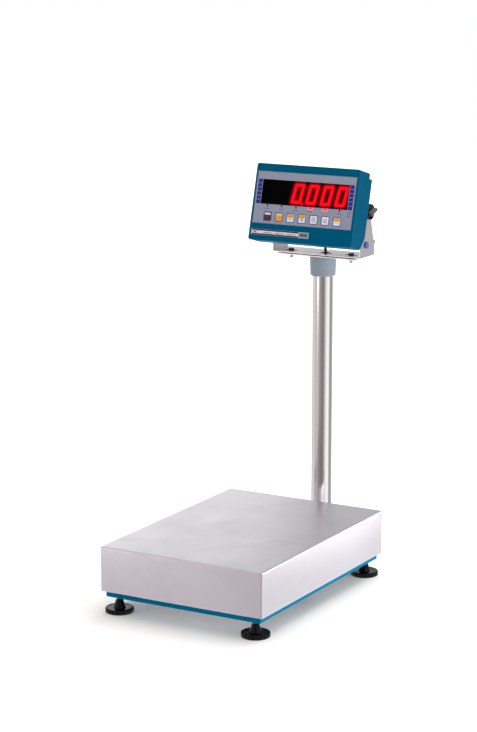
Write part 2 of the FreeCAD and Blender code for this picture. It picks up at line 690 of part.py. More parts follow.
def pan():
    """Stainless pan: a shallow box open below, with small bend radii."""
    body = doc.addObject("PartDesign::Body", "Pan_body")
    outer = sketch_on(body, "Outer", "XY_Plane")
    rectangle(outer, "pan_width", "pan_length")
    pad(body, outer, "pan_height")
    top = body.Shape.BoundBox.ZMax
    round_edges(body, "pan_bend", lambda a, b: max(a.z, b.z) > top - 1e-6)
    inner = sketch_on(body, "Inner", "XY_Plane")
    rectangle(inner, "pan_width - 2 * pan_sheet", "pan_length - 2 * pan_sheet")
    pocket(body, inner, "pan_height - pan_sheet", reverse=True)
    keep(put(body, "0", "mid_y", "pan_top - pan_height"), "pan")


# ---------------------------------------------------------------- post

def post():
    """Bracket under the rear rail, flange, tube and the plastic collar on its end."""
    plate = block(("bracket_width", "bracket_rear - bracket_front", "bracket_plate"), "0",
                  "(bracket_rear + bracket_front) / 2", "bracket_bottom")
    corners = [(f"{side} * flange_bolt", f"post_line + {end} * flange_bolt")
               for side in (-1, 1) for end in (-1, 1)]
    front = [(x, "mid_y + rail_y") for x in BRACKET_BOLTS]
    holes = [rod("bolt_hole", "bracket_plate + 2 * over", x, y, "bracket_bottom - over")
             for x, y in corners + front]
    keep(cut(plate, *holes), "post_bracket")
    flange = block(("flange_side", "flange_side", "flange_plate"), "0", "post_line",
                   "bracket_top")
    holes = [rod("bolt_hole", "flange_plate + 2 * over", x, y, "bracket_top - over") for x, y in corners]
    keep(cut(flange, *holes), "post_flange")
    grip = "bracket_plate + bracket_grip"
    bolts = []
    for x, y in front:
        bolts.append(bolt("bolt_radius", grip, "bolt_head_radius", "bolt_head_height", x, y,
                          "bracket_bottom", True))
        bolts.append(main_nut(x, y, "frame_bottom + rail_wall"))
    for x, y in corners:
        bolts.append(bolt("bolt_radius", grip, "bolt_head_radius", "bolt_head_height", x, y,
                          "flange_top", False))
        bolts.append(main_nut(x, y, "bracket_bottom - main_nut_height"))
    keep(group(*bolts), "post_bolts")
    tube = rod("post_radius", "post_end - flange_top", "0", "post_line", "flange_top")
    hollow = rod("post_radius - post_wall", "post_end - flange_top + 2 * over", "0", "post_line",
                 "flange_top - over")
    outlet = rod("2 * cable_radius", "post_radius", "0", "post_line - post_radius - over",
                 "cable_outlet", TURN_Y)
    keep(cut(tube, hollow, outlet), "post")
    ring = rod("2 * cable_radius - screw_gap", "3 * post_wall", "0",
               "post_line - post_radius - post_wall / 2", "cable_outlet", TURN_Y)
    eye = rod("cable_radius + screw_gap", "3 * post_wall + 2 * over", "0",
              "post_line - post_radius - post_wall / 2 - over", "cable_outlet", TURN_Y)
    keep(cut(ring, eye), "post_grommet")


def collar():
    """Tapered plastic collar that plugs over the post and carries the top plate."""
    skin = cone("collar_base_radius", "collar_top_radius", "collar_top - collar_bottom", "0",
                "post_line", "collar_bottom")
    bore = rod("post_radius + collar_fit", "post_end - collar_bottom + over", "0", "post_line",
               "collar_bottom - over")
    way = rod("cable_way", "collar_roof + 2 * over", "0", "post_line", "post_end - over")
    soft = soften(skin, size["collar_round"],
                  lambda edge, box: edge.BoundBox.ZMax < box.ZMin + 1e-6)
    screws = plate_screw_places()
    holes = [rod("plate_screw_radius + screw_gap", "collar_roof", x, y, "post_end + over")
             for x, y in screws]
    keep(cut(soft, bore, way, *holes), "collar")


def plate_screw_places():
    """Centres of the three screws that hold the top plate on the collar."""
    return [(f"plate_screw_circle * cos({angle})", f"post_line + plate_screw_circle * sin({angle})")
            for angle in (90, 210, 330)]


def slot(x, y, z, height):
    """Straight slot along X with round ends, as a cutting tool."""
    reach = "(yoke_slot_length / 2 - yoke_slot_radius)"
    ends = [rod("yoke_slot_radius", height, f"{x} + {side} * {reach}", y, z) for side in (-1, 1)]
    return fuse(*ends, block((f"2 * {reach}", "2 * yoke_slot_radius", height), x, y, z))


def top_plate():
    """Plate screwed to the collar, with holes for the yoke bolts and the cable."""
    plate = block(("top_plate_width", "top_plate_depth", "top_plate"), "0", "post_line",
                  "collar_top")
    way = rod("cable_way", "top_plate + 2 * over", "0", "post_line", "collar_top - over")
    bolts = [rod("yoke_bolt_radius + bolt_gap", "top_plate + 2 * over", f"{side} * yoke_bolt_x",
                 "slot_line", "collar_top - over") for side in (-1, 1)]
    screws = [rod("plate_screw_radius + 2 * screw_gap", "top_plate + 2 * over", x, y, "collar_top - over")
              for x, y in plate_screw_places()]
    keep(cut(plate, way, *bolts, *screws), "post_top_plate")
    length = "top_plate + collar_roof - 2 * over"
    keep(group(*[bolt("plate_screw_radius", length, "plate_screw_head", "plate_screw_cap", x, y,
                      "top_plate_top", False) for x, y in plate_screw_places()]),
         "plate_screws")


def yoke_arm(side):
    """One upright arm: straight foot, tapered blade, round end and rear stop tab."""
    x = f"{side} * (yoke_width - yoke_sheet) / 2"
    shoulder = block(("yoke_sheet", "yoke_depth - 2 * shoulder_inset", "yoke_shoulder + lap"), x,
                     "post_line", "yoke_top - lap")
    blade = doc.addObject("Part::Wedge", "Blade")
    bind(blade, Xmin="-yoke_sheet / 2", Xmax="yoke_sheet / 2", X2min="-yoke_sheet / 2",
         X2max="yoke_sheet / 2", Ymin="0", Ymax="pivot_height - yoke_top - yoke_shoulder",
         Zmin="blade_inset - yoke_depth / 2", Zmax="yoke_depth / 2 - blade_inset",
         Z2min="-yoke_arm_end", Z2max="yoke_arm_end")
    put(blade, x, "post_line", "yoke_top + yoke_shoulder",
        FreeCAD.Rotation(FreeCAD.Vector(1, 0, 0), 90))
    across = f"{x} - yoke_sheet / 2"
    end = rod("yoke_arm_end", "yoke_sheet", across, "post_line", "pivot_height", TURN_X)
    tab_y = "post_line + yoke_tab_reach - yoke_tab_radius"
    tab_z = "yoke_top + yoke_shoulder"
    tab = rod("yoke_tab_radius", "yoke_sheet", across, tab_y, tab_z, TURN_X)
    neck = block(("yoke_sheet", "yoke_tab_reach - yoke_tab_radius", "2 * yoke_tab_radius"), x,
                 "post_line + (yoke_tab_reach - yoke_tab_radius) / 2",
                 f"{tab_z} - yoke_tab_radius")
    return fuse(shoulder, blade, end, tab, neck)


def yoke():
    """U-shaped sheet yoke with slots in its base and a pivot hole in each arm."""
    base = block(("yoke_width", "yoke_depth", "yoke_sheet"), "0", "post_line", "yoke_bottom")
    whole = fuse(base, yoke_arm("-1"), yoke_arm("1"))
    slots = [slot(x, "slot_line", "yoke_bottom - over", "yoke_sheet + 2 * over")
             for x in ("-yoke_bolt_x", "cable_x", "yoke_bolt_x")]
    pivot = rod("pivot_stud_radius + pivot_gap", "yoke_width + 2 * over",
                "-yoke_width / 2 - over", "post_line", "pivot_height", TURN_X)
    low = rod("yoke_hole", "yoke_width + 2 * over", "-yoke_width / 2 - over",
              "post_line - yoke_hole", "yoke_top + yoke_hole_rise", TURN_X)
    keep(cut(whole, *slots, pivot, low), "yoke")
    rings, bolts = [], []
    for side in (-1, 1):
        x = f"{side} * yoke_bolt_x"
        ring = rod("yoke_ring_radius", "yoke_spacer", x, "slot_line", "top_plate_top")
        hole = rod("yoke_bolt_radius + bolt_gap", "yoke_spacer + 2 * over", x, "slot_line",
                   "top_plate_top - over")
        rings.append(cut(ring, hole))
        length = "yoke_sheet + yoke_spacer + top_plate + yoke_bolt_tail"
        bolts.append(bolt("yoke_bolt_radius", length, "yoke_head_radius", "yoke_bolt_head",
                          x, "slot_line", "yoke_top", False))
        bolts.append(nut("yoke_nut_flats", "yoke_nut_height", "yoke_bolt_radius + thread_gap", x,
                         "slot_line", "collar_top - yoke_nut_height"))
    keep(group(*rings), "yoke_spacers")
    keep(group(*bolts), "yoke_bolts")
    keep(group(yoke_plug(-1), yoke_plug(1)), "yoke_plugs")


def yoke_plug(side):
    """Plastic plug in the hole low in an arm: outer cap, shank and inner lip."""
    def disc(radius, start, length):
        first = start if side > 0 else f"-({start}) - ({length})"
        return rod(radius, length, first, "post_line - yoke_hole", "yoke_top + yoke_hole_rise",
                   TURN_X)

    return fuse(disc("plug_cap_radius", "yoke_width / 2", "plug_cap"),
                disc("yoke_hole - screw_gap", "yoke_inner - lap", "yoke_sheet + 2 * lap"),
                disc("plug_lip_radius", "yoke_inner - plug_lip", "plug_lip"))


# ---------------------------------------------------------------- indicator

def key_x(index):
    """Centre of a key along the row."""
    return f"({index} - (key_count - 1) / 2) * key_pitch"


def shell_profile(inset, front):
    """Side outline of the front shell, moved inwards by a wall."""
    half = "face_height / 2"
    return [(front, f"{half} - {inset}"), (front, f"-({half} - {inset})"),
            (f"shell_bottom_depth - {inset} / 2", f"-({half} - {inset})"),
            (f"shell_depth - {inset}", f"-({half} - shell_slope)"),
            (f"shell_depth - {inset}", f"{half} - shell_step - {inset}"),
            (f"shell_top_depth - {inset}", f"{half} - shell_step - {inset}"),
            (f"shell_top_depth - {inset}", f"{half} - {inset}")]


COVER_MID = "((cover_top + cover_bottom) / 2)"
COVER_TALL = "(cover_top - cover_bottom)"


def cover_corners():
    """Centres of the four screws at the corners of the rear cover."""
    return [(f"{side} * (cover_width / 2 - cover_screw_inset)",
             f"{COVER_MID} + {end} * ({COVER_TALL} / 2 - cover_screw_inset)")
            for side in (-1, 1) for end in (-1, 1)]


def peg_places(width, height, rise):
    """Centres of the four pegs near a board's corners."""
    return [(f"{side} * ({width} / 2 - peg_inset)", f"{rise} + {end} * ({height} / 2 - peg_inset)")
            for side in (-1, 1) for end in (-1, 1)]


def front_shell():
    """Hollow front half of the housing, with its recess, window, key and rear openings."""
    body = doc.addObject("PartDesign::Body", "Shell_body")
    side = sketch_on(body, "Side_outline", "YZ_Plane")
    outline(side, shell_profile("0", "0"))
    pad(body, side, "face_width", "Symmetric")
    box = body.Shape.BoundBox
    round_edges(body, "shell_round", lambda a, b: abs(a.x - b.x) < 1e-6
                and min(abs(a.z - box.ZMax) + abs(b.z - box.ZMax),
                        abs(a.z - box.ZMin) + abs(b.z - box.ZMin)) < 1e-6)
    inside = sketch_on(body, "Inside_outline", "YZ_Plane")
    outline(inside, shell_profile("shell_wall", "overlay_recess + shell_wall"))
    pocket(body, inside, "face_width - 2 * shell_wall", "Symmetric")
    hole = "overlay_recess + shell_wall + 2 * over"
    tools = [panel(("overlay_width + 2 * overlay_gap", "overlay_recess + over",
                    "overlay_height + 2 * overlay_gap"), "0", "-over", "overlay_rise"),
             panel(("window_width - 2 * window_seat", hole, "window_height - 2 * window_seat"),
                   "0", "-over", "window_rise"),
             panel(("cover_width - 2 * rear_rim", "shell_wall + 2 * over",
                    f"{COVER_TALL} - 2 * rear_rim"), "0", "shell_depth - shell_wall - over",
                   COVER_MID)]
    for index in range(size["key_count"]):
        tools.append(panel(("key_width + 2 * overlay_gap", hole, "key_height + 2 * overlay_gap"),
                           key_x(index), "-over", "key_rise"))
    for x, z in cover_corners():
        tools.append(rod("cover_screw_radius + screw_gap", "shell_wall + 2 * over", x,
                         "shell_depth - shell_wall - over", z, TURN_Y))
    opened = cut(body, *tools)
    pegs = [rod("peg_radius", "board_depth - overlay_recess - shell_wall + lap", x,
                "overlay_recess + shell_wall - lap", z, TURN_Y)
            for x, z in peg_places("board_width", "board_height", "board_rise")]
    keep_leaned(fuse(opened, *pegs), "front_shell")


def rear_cover():
    """Box behind the shell that holds the electronics and the two pivot bosses."""
    depth = "cover_rear - cover_front"
    outer = soften(panel(("cover_width", depth, COVER_TALL), "0", "cover_front", COVER_MID),
                   size["cover_round"],
                   lambda edge, box: edge.BoundBox.YMax > box.YMin + 1e-3)
    inner = panel(("cover_width - 2 * shell_wall", depth, f"{COVER_TALL} - 2 * shell_wall"),
                  "0", "cover_front - shell_wall", COVER_MID)
    bosses = [rod("boss_radius", "boss_end - cover_width / 2 + shell_wall + boss_root", start,
                  "pivot_depth", "pivot_rise", TURN_X)
              for start in ("-boss_end", "cover_width / 2 - shell_wall - boss_root")]
    pillars = [rod("cover_post_radius", f"{depth} - lap", x, "cover_front", z, TURN_Y)
               for x, z in cover_corners()]
    board_pegs = [rod("peg_radius", "peg_height + lap", x,
                      "cover_rear - shell_wall - peg_height", z, TURN_Y)
                  for x, z in peg_places("main_board_width", "main_board_height",
                                         "main_board_rise")]
    solid = fuse(cut(outer, inner), *bosses, *pillars, *board_pegs)
    bore = rod("pivot_stud_radius + thread_gap", "2 * boss_end + 2 * over", "-boss_end - over",
               "pivot_depth", "pivot_rise", TURN_X)
    screws = [rod("cover_screw_radius + screw_gap", f"{depth} + 2 * over", x,
                  "cover_front - over", z, TURN_Y) for x, z in cover_corners()]
    gland = rod("gland_thread + screw_gap", "shell_wall + 2 * over", "cable_x",
                "gland_depth", "cover_bottom - over")
    inlet = rod("inlet_thread + screw_gap", "shell_wall + 2 * over", "inlet_x",
                "inlet_depth", "cover_bottom - over")
    keep_leaned(cut(solid, bore, *screws, gland, inlet), "rear_cover")


def housing_trim():
    """Gasket, cover screws, cable gland, power inlet and label plate."""
    outer = panel(("cover_width", "gasket_sheet", COVER_TALL), "0", "shell_depth", COVER_MID)
    inner = panel(("cover_width - 2 * gasket_width", "gasket_sheet + 2 * over",
                   f"{COVER_TALL} - 2 * gasket_width"), "0", "shell_depth - over", COVER_MID)
    holes = [rod("cover_screw_radius + bolt_gap", "gasket_sheet + 2 * over", x,
                 "shell_depth - over", z, TURN_Y) for x, z in cover_corners()]
    keep_leaned(cut(outer, inner, *holes), "gasket")
    screws = []
    for x, z in cover_corners():
        shank = rod("cover_screw_radius", "cover_rear - shell_depth + shell_wall + lap", x,
                    "shell_depth - shell_wall", z, TURN_Y)
        head = rod("cover_screw_head", "cover_screw_cap", x, "cover_rear", z, TURN_Y)
        screws.append(fuse(shank, head))
    keep_leaned(group(*screws), "cover_screws")
    nut_side = hexagon("2 * gland_radius", "gland_length / 2", "cable_x", "gland_depth",
                       "cover_bottom - gland_length / 2")
    dome = rod("gland_dome", "gland_length / 2 + lap", "cable_x", "gland_depth",
               "cover_bottom - gland_length")
    neck = rod("gland_thread", "2 * shell_wall + lap", "cable_x", "gland_depth",
               "cover_bottom - lap")
    eye = rod("cable_radius + 2 * screw_gap", "gland_length + 2 * shell_wall + 2 * over",
              "cable_x", "gland_depth", "cover_bottom - gland_length - over")
    keep_leaned(cut(fuse(nut_side, dome, neck), eye), "cable_gland")
    ring = rod("inlet_radius", "inlet_length", "inlet_x", "inlet_depth",
               "cover_bottom - inlet_length")
    tail = rod("inlet_thread", "2 * shell_wall + lap", "inlet_x", "inlet_depth",
               "cover_bottom - lap")
    socket = rod("inlet_bore", "inlet_length", "inlet_x", "inlet_depth",
                 "cover_bottom - inlet_length - over")
    keep_leaned(cut(fuse(ring, tail), socket), "power_inlet")
    keep_leaned(panel(("label_width", "label_sheet", "label_height"), "label_x", "-label_sheet",
                      "label_rise"), "label_plate")


def display():
    """Overlay, window, boards and digit modules."""
    sheet_front = "overlay_recess - overlay_sheet"
    overlay = panel(("overlay_width", "overlay_sheet", "overlay_height"), "0", sheet_front,
                    "overlay_rise")
    hole = panel(("window_width + 2 * overlay_gap", "overlay_sheet + 2 * over",
                  "window_height + 2 * overlay_gap"), "0", "-over", "window_rise")
    keys = [panel(("key_width + 2 * overlay_gap", "overlay_sheet + 2 * over",
                   "key_height + 2 * overlay_gap"), key_x(index), "-over", "key_rise")
            for index in range(size["key_count"])]
    keep_leaned(cut(overlay, hole, *keys), "overlay")
    keep_leaned(panel(("window_width", "overlay_sheet", "window_height"), "0", sheet_front,
                      "window_rise"), "display_window")
    keep_leaned(panel(("board_width", "board_sheet", "board_height"), "0", "board_depth",
                      "board_rise"), "display_board")
    modules = []
    for index in range(size["digit_count"]):
        x = f"({index} - (digit_count - 1) / 2) * digit_pitch + digit_shift"
        modules.append(panel(("digit_width", "digit_thickness", "digit_height"), x,
                             "board_depth - digit_thickness", "window_rise"))
    keep_leaned(group(*modules), "digit_modules")
    keep_leaned(panel(("main_board_width", "board_sheet", "main_board_height"), "0",
                      "cover_rear - shell_wall - peg_height - board_sheet", "main_board_rise"),
                "main_board")


def keys():
    """Seven press keys, each a cap with a plunger that reaches for its switch."""
    for index in range(size["key_count"]):
        x = key_x(index)
        cap = panel(("key_width", "key_thickness", "key_height"), x, "overlay_gap", "key_rise")
        plunger = rod("plunger_radius", "board_depth - switch_gap - overlay_gap - over", x,
                      "overlay_gap + over", "key_rise", TURN_Y)
        keep_leaned(fuse(cap, plunger), f"key_{index + 1}")


def knob(side, label):
    """Clamp knob with a tapered wing, and the stud it turns into the pivot boss."""
    def along(start, length):
        return start if side > 0 else f"-({start}) - ({length})"

    disc = rod("knob_radius", "knob_disc", along("knob_start", "knob_disc"), "post_line",
               "pivot_height", TURN_X)
    wing = doc.addObject("Part::Wedge", "Wing")
    bind(wing, Xmin="-wing_width / 2", Xmax="wing_width / 2", X2min="wing_taper - wing_width / 2",
         X2max="wing_width / 2 - wing_taper", Ymin="-lap", Ymax="wing_height",
         Zmin="wing_flare - wing_reach", Zmax="wing_reach - wing_flare", Z2min="-wing_reach",
         Z2max="wing_reach")
    outward = FreeCAD.Rotation(FreeCAD.Vector(0, 0, 1), -90 * side)
    turn = FreeCAD.Rotation(FreeCAD.Vector(1, 0, 0), 90 + size["wing_turn"])
    put(wing, f"{side} * (knob_start + knob_disc)", "post_line", "pivot_height",
        turn.multiply(outward))
    bored = "knob_disc - knob_skin + over"
    hole = rod("pivot_stud_radius + thread_gap", bored, along("knob_start - over", bored),
               "post_line", "pivot_height", TURN_X)
    keep(cut(fuse(disc, wing), hole), "knob_" + label)
    length = "knob_start + knob_disc - knob_skin - boss_end + pivot_stud_depth"
    keep(rod("pivot_stud_radius", length, along("boss_end - pivot_stud_depth", length),
             "post_line", "pivot_height", TURN_X), "knob_stud_" + label)


# ---------------------------------------------------------------- cable

def cable_route():
    """Points of the cable as x, y from the post's axis, z.

    It leaves the gland, drops through the yoke and the post, turns out at the post's foot and
    runs through the rear rail to the side of the load cell.
    """
    out, rail = size["cable_outlet"], size["cable_entry"]
    side = size["cable_x"]
    return [(side, -10.6, 592.9), (side, -11.6, 588.8), (side, -8.4, 577), (9.4, -7.2, 556),
            (0, 9, out), (0, -30, out), (0, -50, rail), (0, -115, rail), (-18, -165, 38),
            (-44, -205, 62), (-55, -240, 79.3), (-55, -270, 79.3)]


def rounded_path(points):
    """Straight runs joined by tangent arcs, as one wire."""
    edges, start = [], points[0]
    for before, corner, after in zip(points, points[1:], points[2:]):
        incoming = (corner - before).normalize()
        outgoing = (after - corner).normalize()
        turn = incoming.getAngle(outgoing)
        cut_back = 0.45 * min((corner - before).Length, (after - corner).Length)
        inner = (outgoing - incoming).normalize()
        radius = cut_back / math.tan(turn / 2)
        print(f"cable bend radius {radius:.1f}")
        middle = corner + inner * (radius / math.cos(turn / 2) - radius)
        first, last = corner - incoming * cut_back, corner + outgoing * cut_back
        edges.append(Part.LineSegment(start, first).toShape())
        edges.append(Part.Arc(first, middle, last).toShape())
        start = last
    edges.append(Part.LineSegment(start, points[-1]).toShape())
    return Part.Wire(edges)


def cable():
    """Load cell cable as one tube along its route."""
    line = post_line_value()
    points = [FreeCAD.Vector(x, line + y, z) for x, y, z in cable_route()]
    path = rounded_path(points)
    heading = (points[1] - points[0]).normalize()
    section = Part.Wire([Part.makeCircle(size["cable_radius"], points[0], heading)])
    tube = path.makePipeShell([section], True, False)
    expected = math.pi * size["cable_radius"] ** 2 * path.Length
    if abs(tube.Volume - expected) > 0.01 * expected:
        raise ValueError("the cable's volume does not match its length")
    item = doc.addObject("Part::Feature", "Cable")
    item.Shape = tube
    item.Placement = FreeCAD.Placement()
    keep(item, "load_cell_cable")


def post_line_value():
    """Y of the post's axis, read from the placement of the post flange."""
    return [item for item in nodes if item.Label == "post_flange"][0].Shape.BoundBox.Center.y


def export():
    """Check every object, then write one STEP file for each sub-part."""
    doc.recompute()
    for item in doc.Objects:
        if "Invalid" in item.State or "Error" in item.State:
            raise ValueError(f"{item.Name} ({item.Label}) failed: {item.State}")
    for item in nodes:
        if item.Shape.isNull() or not item.Shape.isValid():
            raise ValueError(f"{item.Label} has no valid shape")
    for item in nodes:
        item.Shape.exportStep(f"parts/{item.Label}.step")
    print(len(nodes), "sub-parts written")


sheet = fill_sheet()
size = {alias: sheet.get(alias) for alias, value, note in SIZES}
base_frame()
feet()
load_stack()
pan()
post()
collar()
top_plate()
yoke()
front_shell()
rear_cover()
housing_trim()
display()
keys()
knob(-1, "left")
knob(1, "right")
doc.recompute()
cable()
export()
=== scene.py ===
"""Looks of the bench scale: steel pan, painted base, post, yoke and the lit weighing indicator.

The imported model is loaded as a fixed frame, and each new piece takes its place from it. Lengths
are in metres. Pieces of the indicator are drawn in its leaned frame, whose origin is the tilt
axis: x to the right, depth into the housing, rise up along the face.
"""

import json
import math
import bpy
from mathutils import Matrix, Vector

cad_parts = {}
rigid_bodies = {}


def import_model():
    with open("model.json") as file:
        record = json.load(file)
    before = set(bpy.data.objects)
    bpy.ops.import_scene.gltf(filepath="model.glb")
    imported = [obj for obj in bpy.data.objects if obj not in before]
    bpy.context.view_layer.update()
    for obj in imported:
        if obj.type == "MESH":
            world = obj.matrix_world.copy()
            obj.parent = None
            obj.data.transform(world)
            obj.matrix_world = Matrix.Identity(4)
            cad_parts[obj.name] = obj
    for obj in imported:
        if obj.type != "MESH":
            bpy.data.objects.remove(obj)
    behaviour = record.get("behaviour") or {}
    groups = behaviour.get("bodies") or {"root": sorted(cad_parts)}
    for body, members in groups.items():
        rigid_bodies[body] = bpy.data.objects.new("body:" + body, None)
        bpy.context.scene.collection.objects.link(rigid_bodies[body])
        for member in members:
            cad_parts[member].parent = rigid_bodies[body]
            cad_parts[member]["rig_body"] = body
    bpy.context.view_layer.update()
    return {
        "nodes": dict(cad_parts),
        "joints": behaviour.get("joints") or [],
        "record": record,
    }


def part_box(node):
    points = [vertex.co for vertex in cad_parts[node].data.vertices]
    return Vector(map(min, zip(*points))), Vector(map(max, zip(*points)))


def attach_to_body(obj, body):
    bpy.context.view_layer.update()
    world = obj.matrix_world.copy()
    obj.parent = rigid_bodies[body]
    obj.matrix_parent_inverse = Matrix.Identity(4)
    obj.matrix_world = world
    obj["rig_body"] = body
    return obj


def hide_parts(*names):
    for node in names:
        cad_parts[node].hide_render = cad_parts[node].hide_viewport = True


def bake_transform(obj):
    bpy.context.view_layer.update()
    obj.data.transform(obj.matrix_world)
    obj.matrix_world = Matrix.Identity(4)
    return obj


bl_info = {
    "name": "Bench scale looks",
    "version": (1, 0, 0),
    "blender": (4, 5, 0),
    "location": "3D View > Sidebar > Bench scale",
    "description": "Builds the finished surfaces of a bench scale around its packed model",
    "category": "Object",
}

import bmesh
import bpy
import numpy as np
from bpy.props import FloatProperty, FloatVectorProperty, IntProperty, PointerProperty
from mathutils import Matrix, Vector

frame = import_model()
NODES = frame["nodes"]
JOINTS = {joint["name"]: joint for joint in frame["joints"]}
SLOT_OF = {row["node"]: row["material_slot"] for row in frame["record"]["subparts"]}
MATERIALS = {}

DIGITS = 6
# an edge that turns by more than this stays sharp
CREASE = math.radians(32)
# how far a print lies over the one below it
OVERPRINT = 0.00006


# ---------------------------------------------------------------- places taken from the frame

def mesh_points(mesh):
    """All vertices of a mesh, as an array."""
    points = np.zeros(len(mesh.vertices) * 3)
    mesh.vertices.foreach_get("co", points)
    return points.reshape(-1, 3)


PIVOT = np.array(JOINTS["indicator_tilt"]["pos_m"])
INTO_FACE = np.array(JOINTS["key_1_press"]["axis"])
INTO_FACE = INTO_FACE / np.linalg.norm(INTO_FACE)
UP_FACE = np.array([0.0, -INTO_FACE[2], INTO_FACE[1]])
LEAN_AXES = np.array([[1.0, 0.0, 0.0], INTO_FACE, UP_FACE])


def to_row(points):
    """Points of the leaned frame in the row frame: the pivot plus x, depth and rise."""
    return np.asarray(points, float) @ LEAN_AXES + PIVOT


def leaned(points):
    """Points of the row frame in the leaned frame."""
    return (np.asarray(points, float) - PIVOT) @ LEAN_AXES.T


def leaned_box(node):
    """Lowest and highest x, depth and rise of an indicator node."""
    local = leaned(mesh_points(NODES[node].data))
    return local.min(0), local.max(0)


def box(node):
    """Lowest and highest corner of a node in the row frame, as arrays."""
    low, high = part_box(node)
    return np.array(low), np.array(high)


# ---------------------------------------------------------------- sizes and colours

def length(name, text, value):
    """Property for a length in metres."""
    return FloatProperty(name=name, description=text, default=value, min=0, unit="LENGTH",
                         precision=5)


def colour(name, text, value):
    """Property for a linear colour."""
    return FloatVectorProperty(name=name, description=text, subtype="COLOR", size=3, min=0,
                               max=1, default=value)


class BenchScaleSizes(bpy.types.PropertyGroup):
    """Sizes of the finished surfaces that a user would change."""
    pan_bend: length("Pan bend", "Outer bend radius of the pan", 0.0028)
    pan_sheet: length("Pan sheet", "Thickness of the pan's sheet", 0.0015)
    sheet_edge: length("Sheet edge", "Rounding of cut sheet edges", 0.00025)
    rail_edge: length("Rail edge", "Outer radius of the frame tubes", 0.0022)
    shell_edge: length("Housing edge", "Rounding of the front shell's edges", 0.0026)
    print_height: length("Print height", "Thickness of printed marks", 0.00006)
    stroke: length("Segment width", "Width of a digit's segments", 0.0057)
    segment_gap: length("Segment gap", "Gap between neighbouring segments", 0.0003)
    slant: FloatProperty(name="Digit slant", description="Lean of the digits to the right",
                         default=math.radians(9), subtype="ANGLE")
    digits_lit: IntProperty(name="Lit digits", description="Digits lit, from the right",
                            default=4, min=1, max=DIGITS)


class BenchScaleColours(bpy.types.PropertyGroup):
    """Linear colours of the finishes."""
    steel: colour("Steel", "Brushed stainless pan", (0.70, 0.675, 0.71))
    tube: colour("Tube", "Polished stainless post", (0.70, 0.68, 0.67))
    yoke: colour("Yoke", "Stainless yoke and top plate", (0.76, 0.72, 0.74))
    zinc: colour("Zinc", "Zinc plated steel", (0.55, 0.53, 0.49))
    frame_teal: colour("Frame teal", "Powder coat of the base frame", (0.0, 0.15, 0.27))
    housing_teal: colour("Housing teal", "Enamel of the indicator", (0.0, 0.098, 0.19))
    collar: colour("Collar", "Moulded collar", (0.26, 0.315, 0.37))
    black: colour("Black plastic", "Feet, knobs and gland", (0.005, 0.0045, 0.0055))
    overlay: colour("Overlay", "Keypad film", (0.27, 0.29, 0.375))
    ink_blue: colour("Blue ink", "Printed columns", (0.022, 0.024, 0.22))
    lit: colour("Lit segment", "Glowing digit segment", (1.0, 0.002, 0.008))
    amber: colour("Amber", "Amber key print", (0.80, 0.33, 0.012))
    white: colour("White", "White key print", (0.74, 0.75, 0.84))
    label: colour("Label", "Silver label", (0.36, 0.42, 0.48))


# ---------------------------------------------------------------- mesh building

def in_scene(name, data):
    """New object for some data, linked to the scene."""
    made = bpy.data.objects.new(name, data)
    bpy.context.scene.collection.objects.link(made)
    return made


def skin(name, shells, material, smooth=True):
    """One piece from shells of points and faces, with its faces turned outwards."""
    points, faces, count = [], [], 0
    for more, sides in shells:
        points.append(more)
        faces += [[corner + count for corner in side] for side in sides]
        count += len(more)
    mesh = bpy.data.meshes.new(name)
    mesh.from_pydata(np.concatenate(points).tolist(), [], faces, shade_flat=not smooth)
    mesh.materials.append(material)
    shape = bmesh.new()
    shape.from_mesh(mesh)
    bmesh.ops.recalc_face_normals(shape, faces=shape.faces)
    shape.to_mesh(mesh)
    shape.free()
    return in_scene(name, mesh)


def grid_faces(rows, columns, wrap_rows=False, wrap_columns=True):
    """Quads between neighbouring rows and columns of points that are numbered row by row."""
    row = np.arange(rows if wrap_rows else rows - 1)
    column = np.arange(columns if wrap_columns else columns - 1)
    a, b = (part.ravel() for part in np.meshgrid(row, column, indexing="ij"))
    a_next, b_next = (a + 1) % rows, (b + 1) % columns
    return np.stack([a * columns + b, a * columns + b_next, a_next * columns + b_next,
                     a_next * columns + b], axis=1).tolist()


def shell_of(rings, closed=False):
    """Points and faces of a surface through closed rings, with flat caps or joined ends."""
    rings = np.asarray(rings, float)
    rows, columns = rings.shape[:2]
    faces = grid_faces(rows, columns, wrap_rows=closed)
    if not closed:
        faces.append(list(range(columns))[::-1])
        faces.append(list(range((rows - 1) * columns, rows * columns)))
    return rings.reshape(-1, 3), faces


def loft(name, stacks, material, closed=False, angle=30):
    """One smooth piece from stacks of closed rings, sharp past an angle."""
    piece = skin(name, [shell_of(rings, closed) for rings in stacks], material)
    piece.data.set_sharp_from_angle(angle=math.radians(angle))
    return piece


def lay(outline, *levels, axis=1):
    """Rings of points from a flat outline, one for each level along the axis it lacks."""
    return [np.insert(outline, axis, level, axis=1) for level in levels]


def rounded_outline(half_x, half_y, radius, steps=6, centre=(0, 0)):
    """Rectangle with quarter-circle corners, counter-clockwise, as an array of (x, y)."""
    turn = np.linspace(0, math.pi / 2, steps + 1)
    corners = []
    for quarter_turns, (sx, sy) in enumerate(((1, 1), (-1, 1), (-1, -1), (1, -1))):
        angle = turn + quarter_turns * math.pi / 2
        corners.append(np.stack([sx * (half_x - radius) + radius * np.cos(angle),
                                 sy * (half_y - radius) + radius * np.sin(angle)], axis=1))
    return np.concatenate(corners) + centre


def disc_outline(centre, radius, steps=20):
    """Circle as an array of (x, y); the radius is a number, or one for each step."""
    angle = np.linspace(0, 2 * math.pi, steps, endpoint=False)
    return np.stack([centre[0] + radius * np.cos(angle), centre[1] + radius * np.sin(angle)], 1)


def bar(x, rise, wide, tall):
    """Upright rectangle as an outline."""
    corners = np.array([[-1, -1], [1, -1], [1, 1], [-1, 1]])
    return np.array([x, rise]) + corners * (wide / 2, tall / 2)


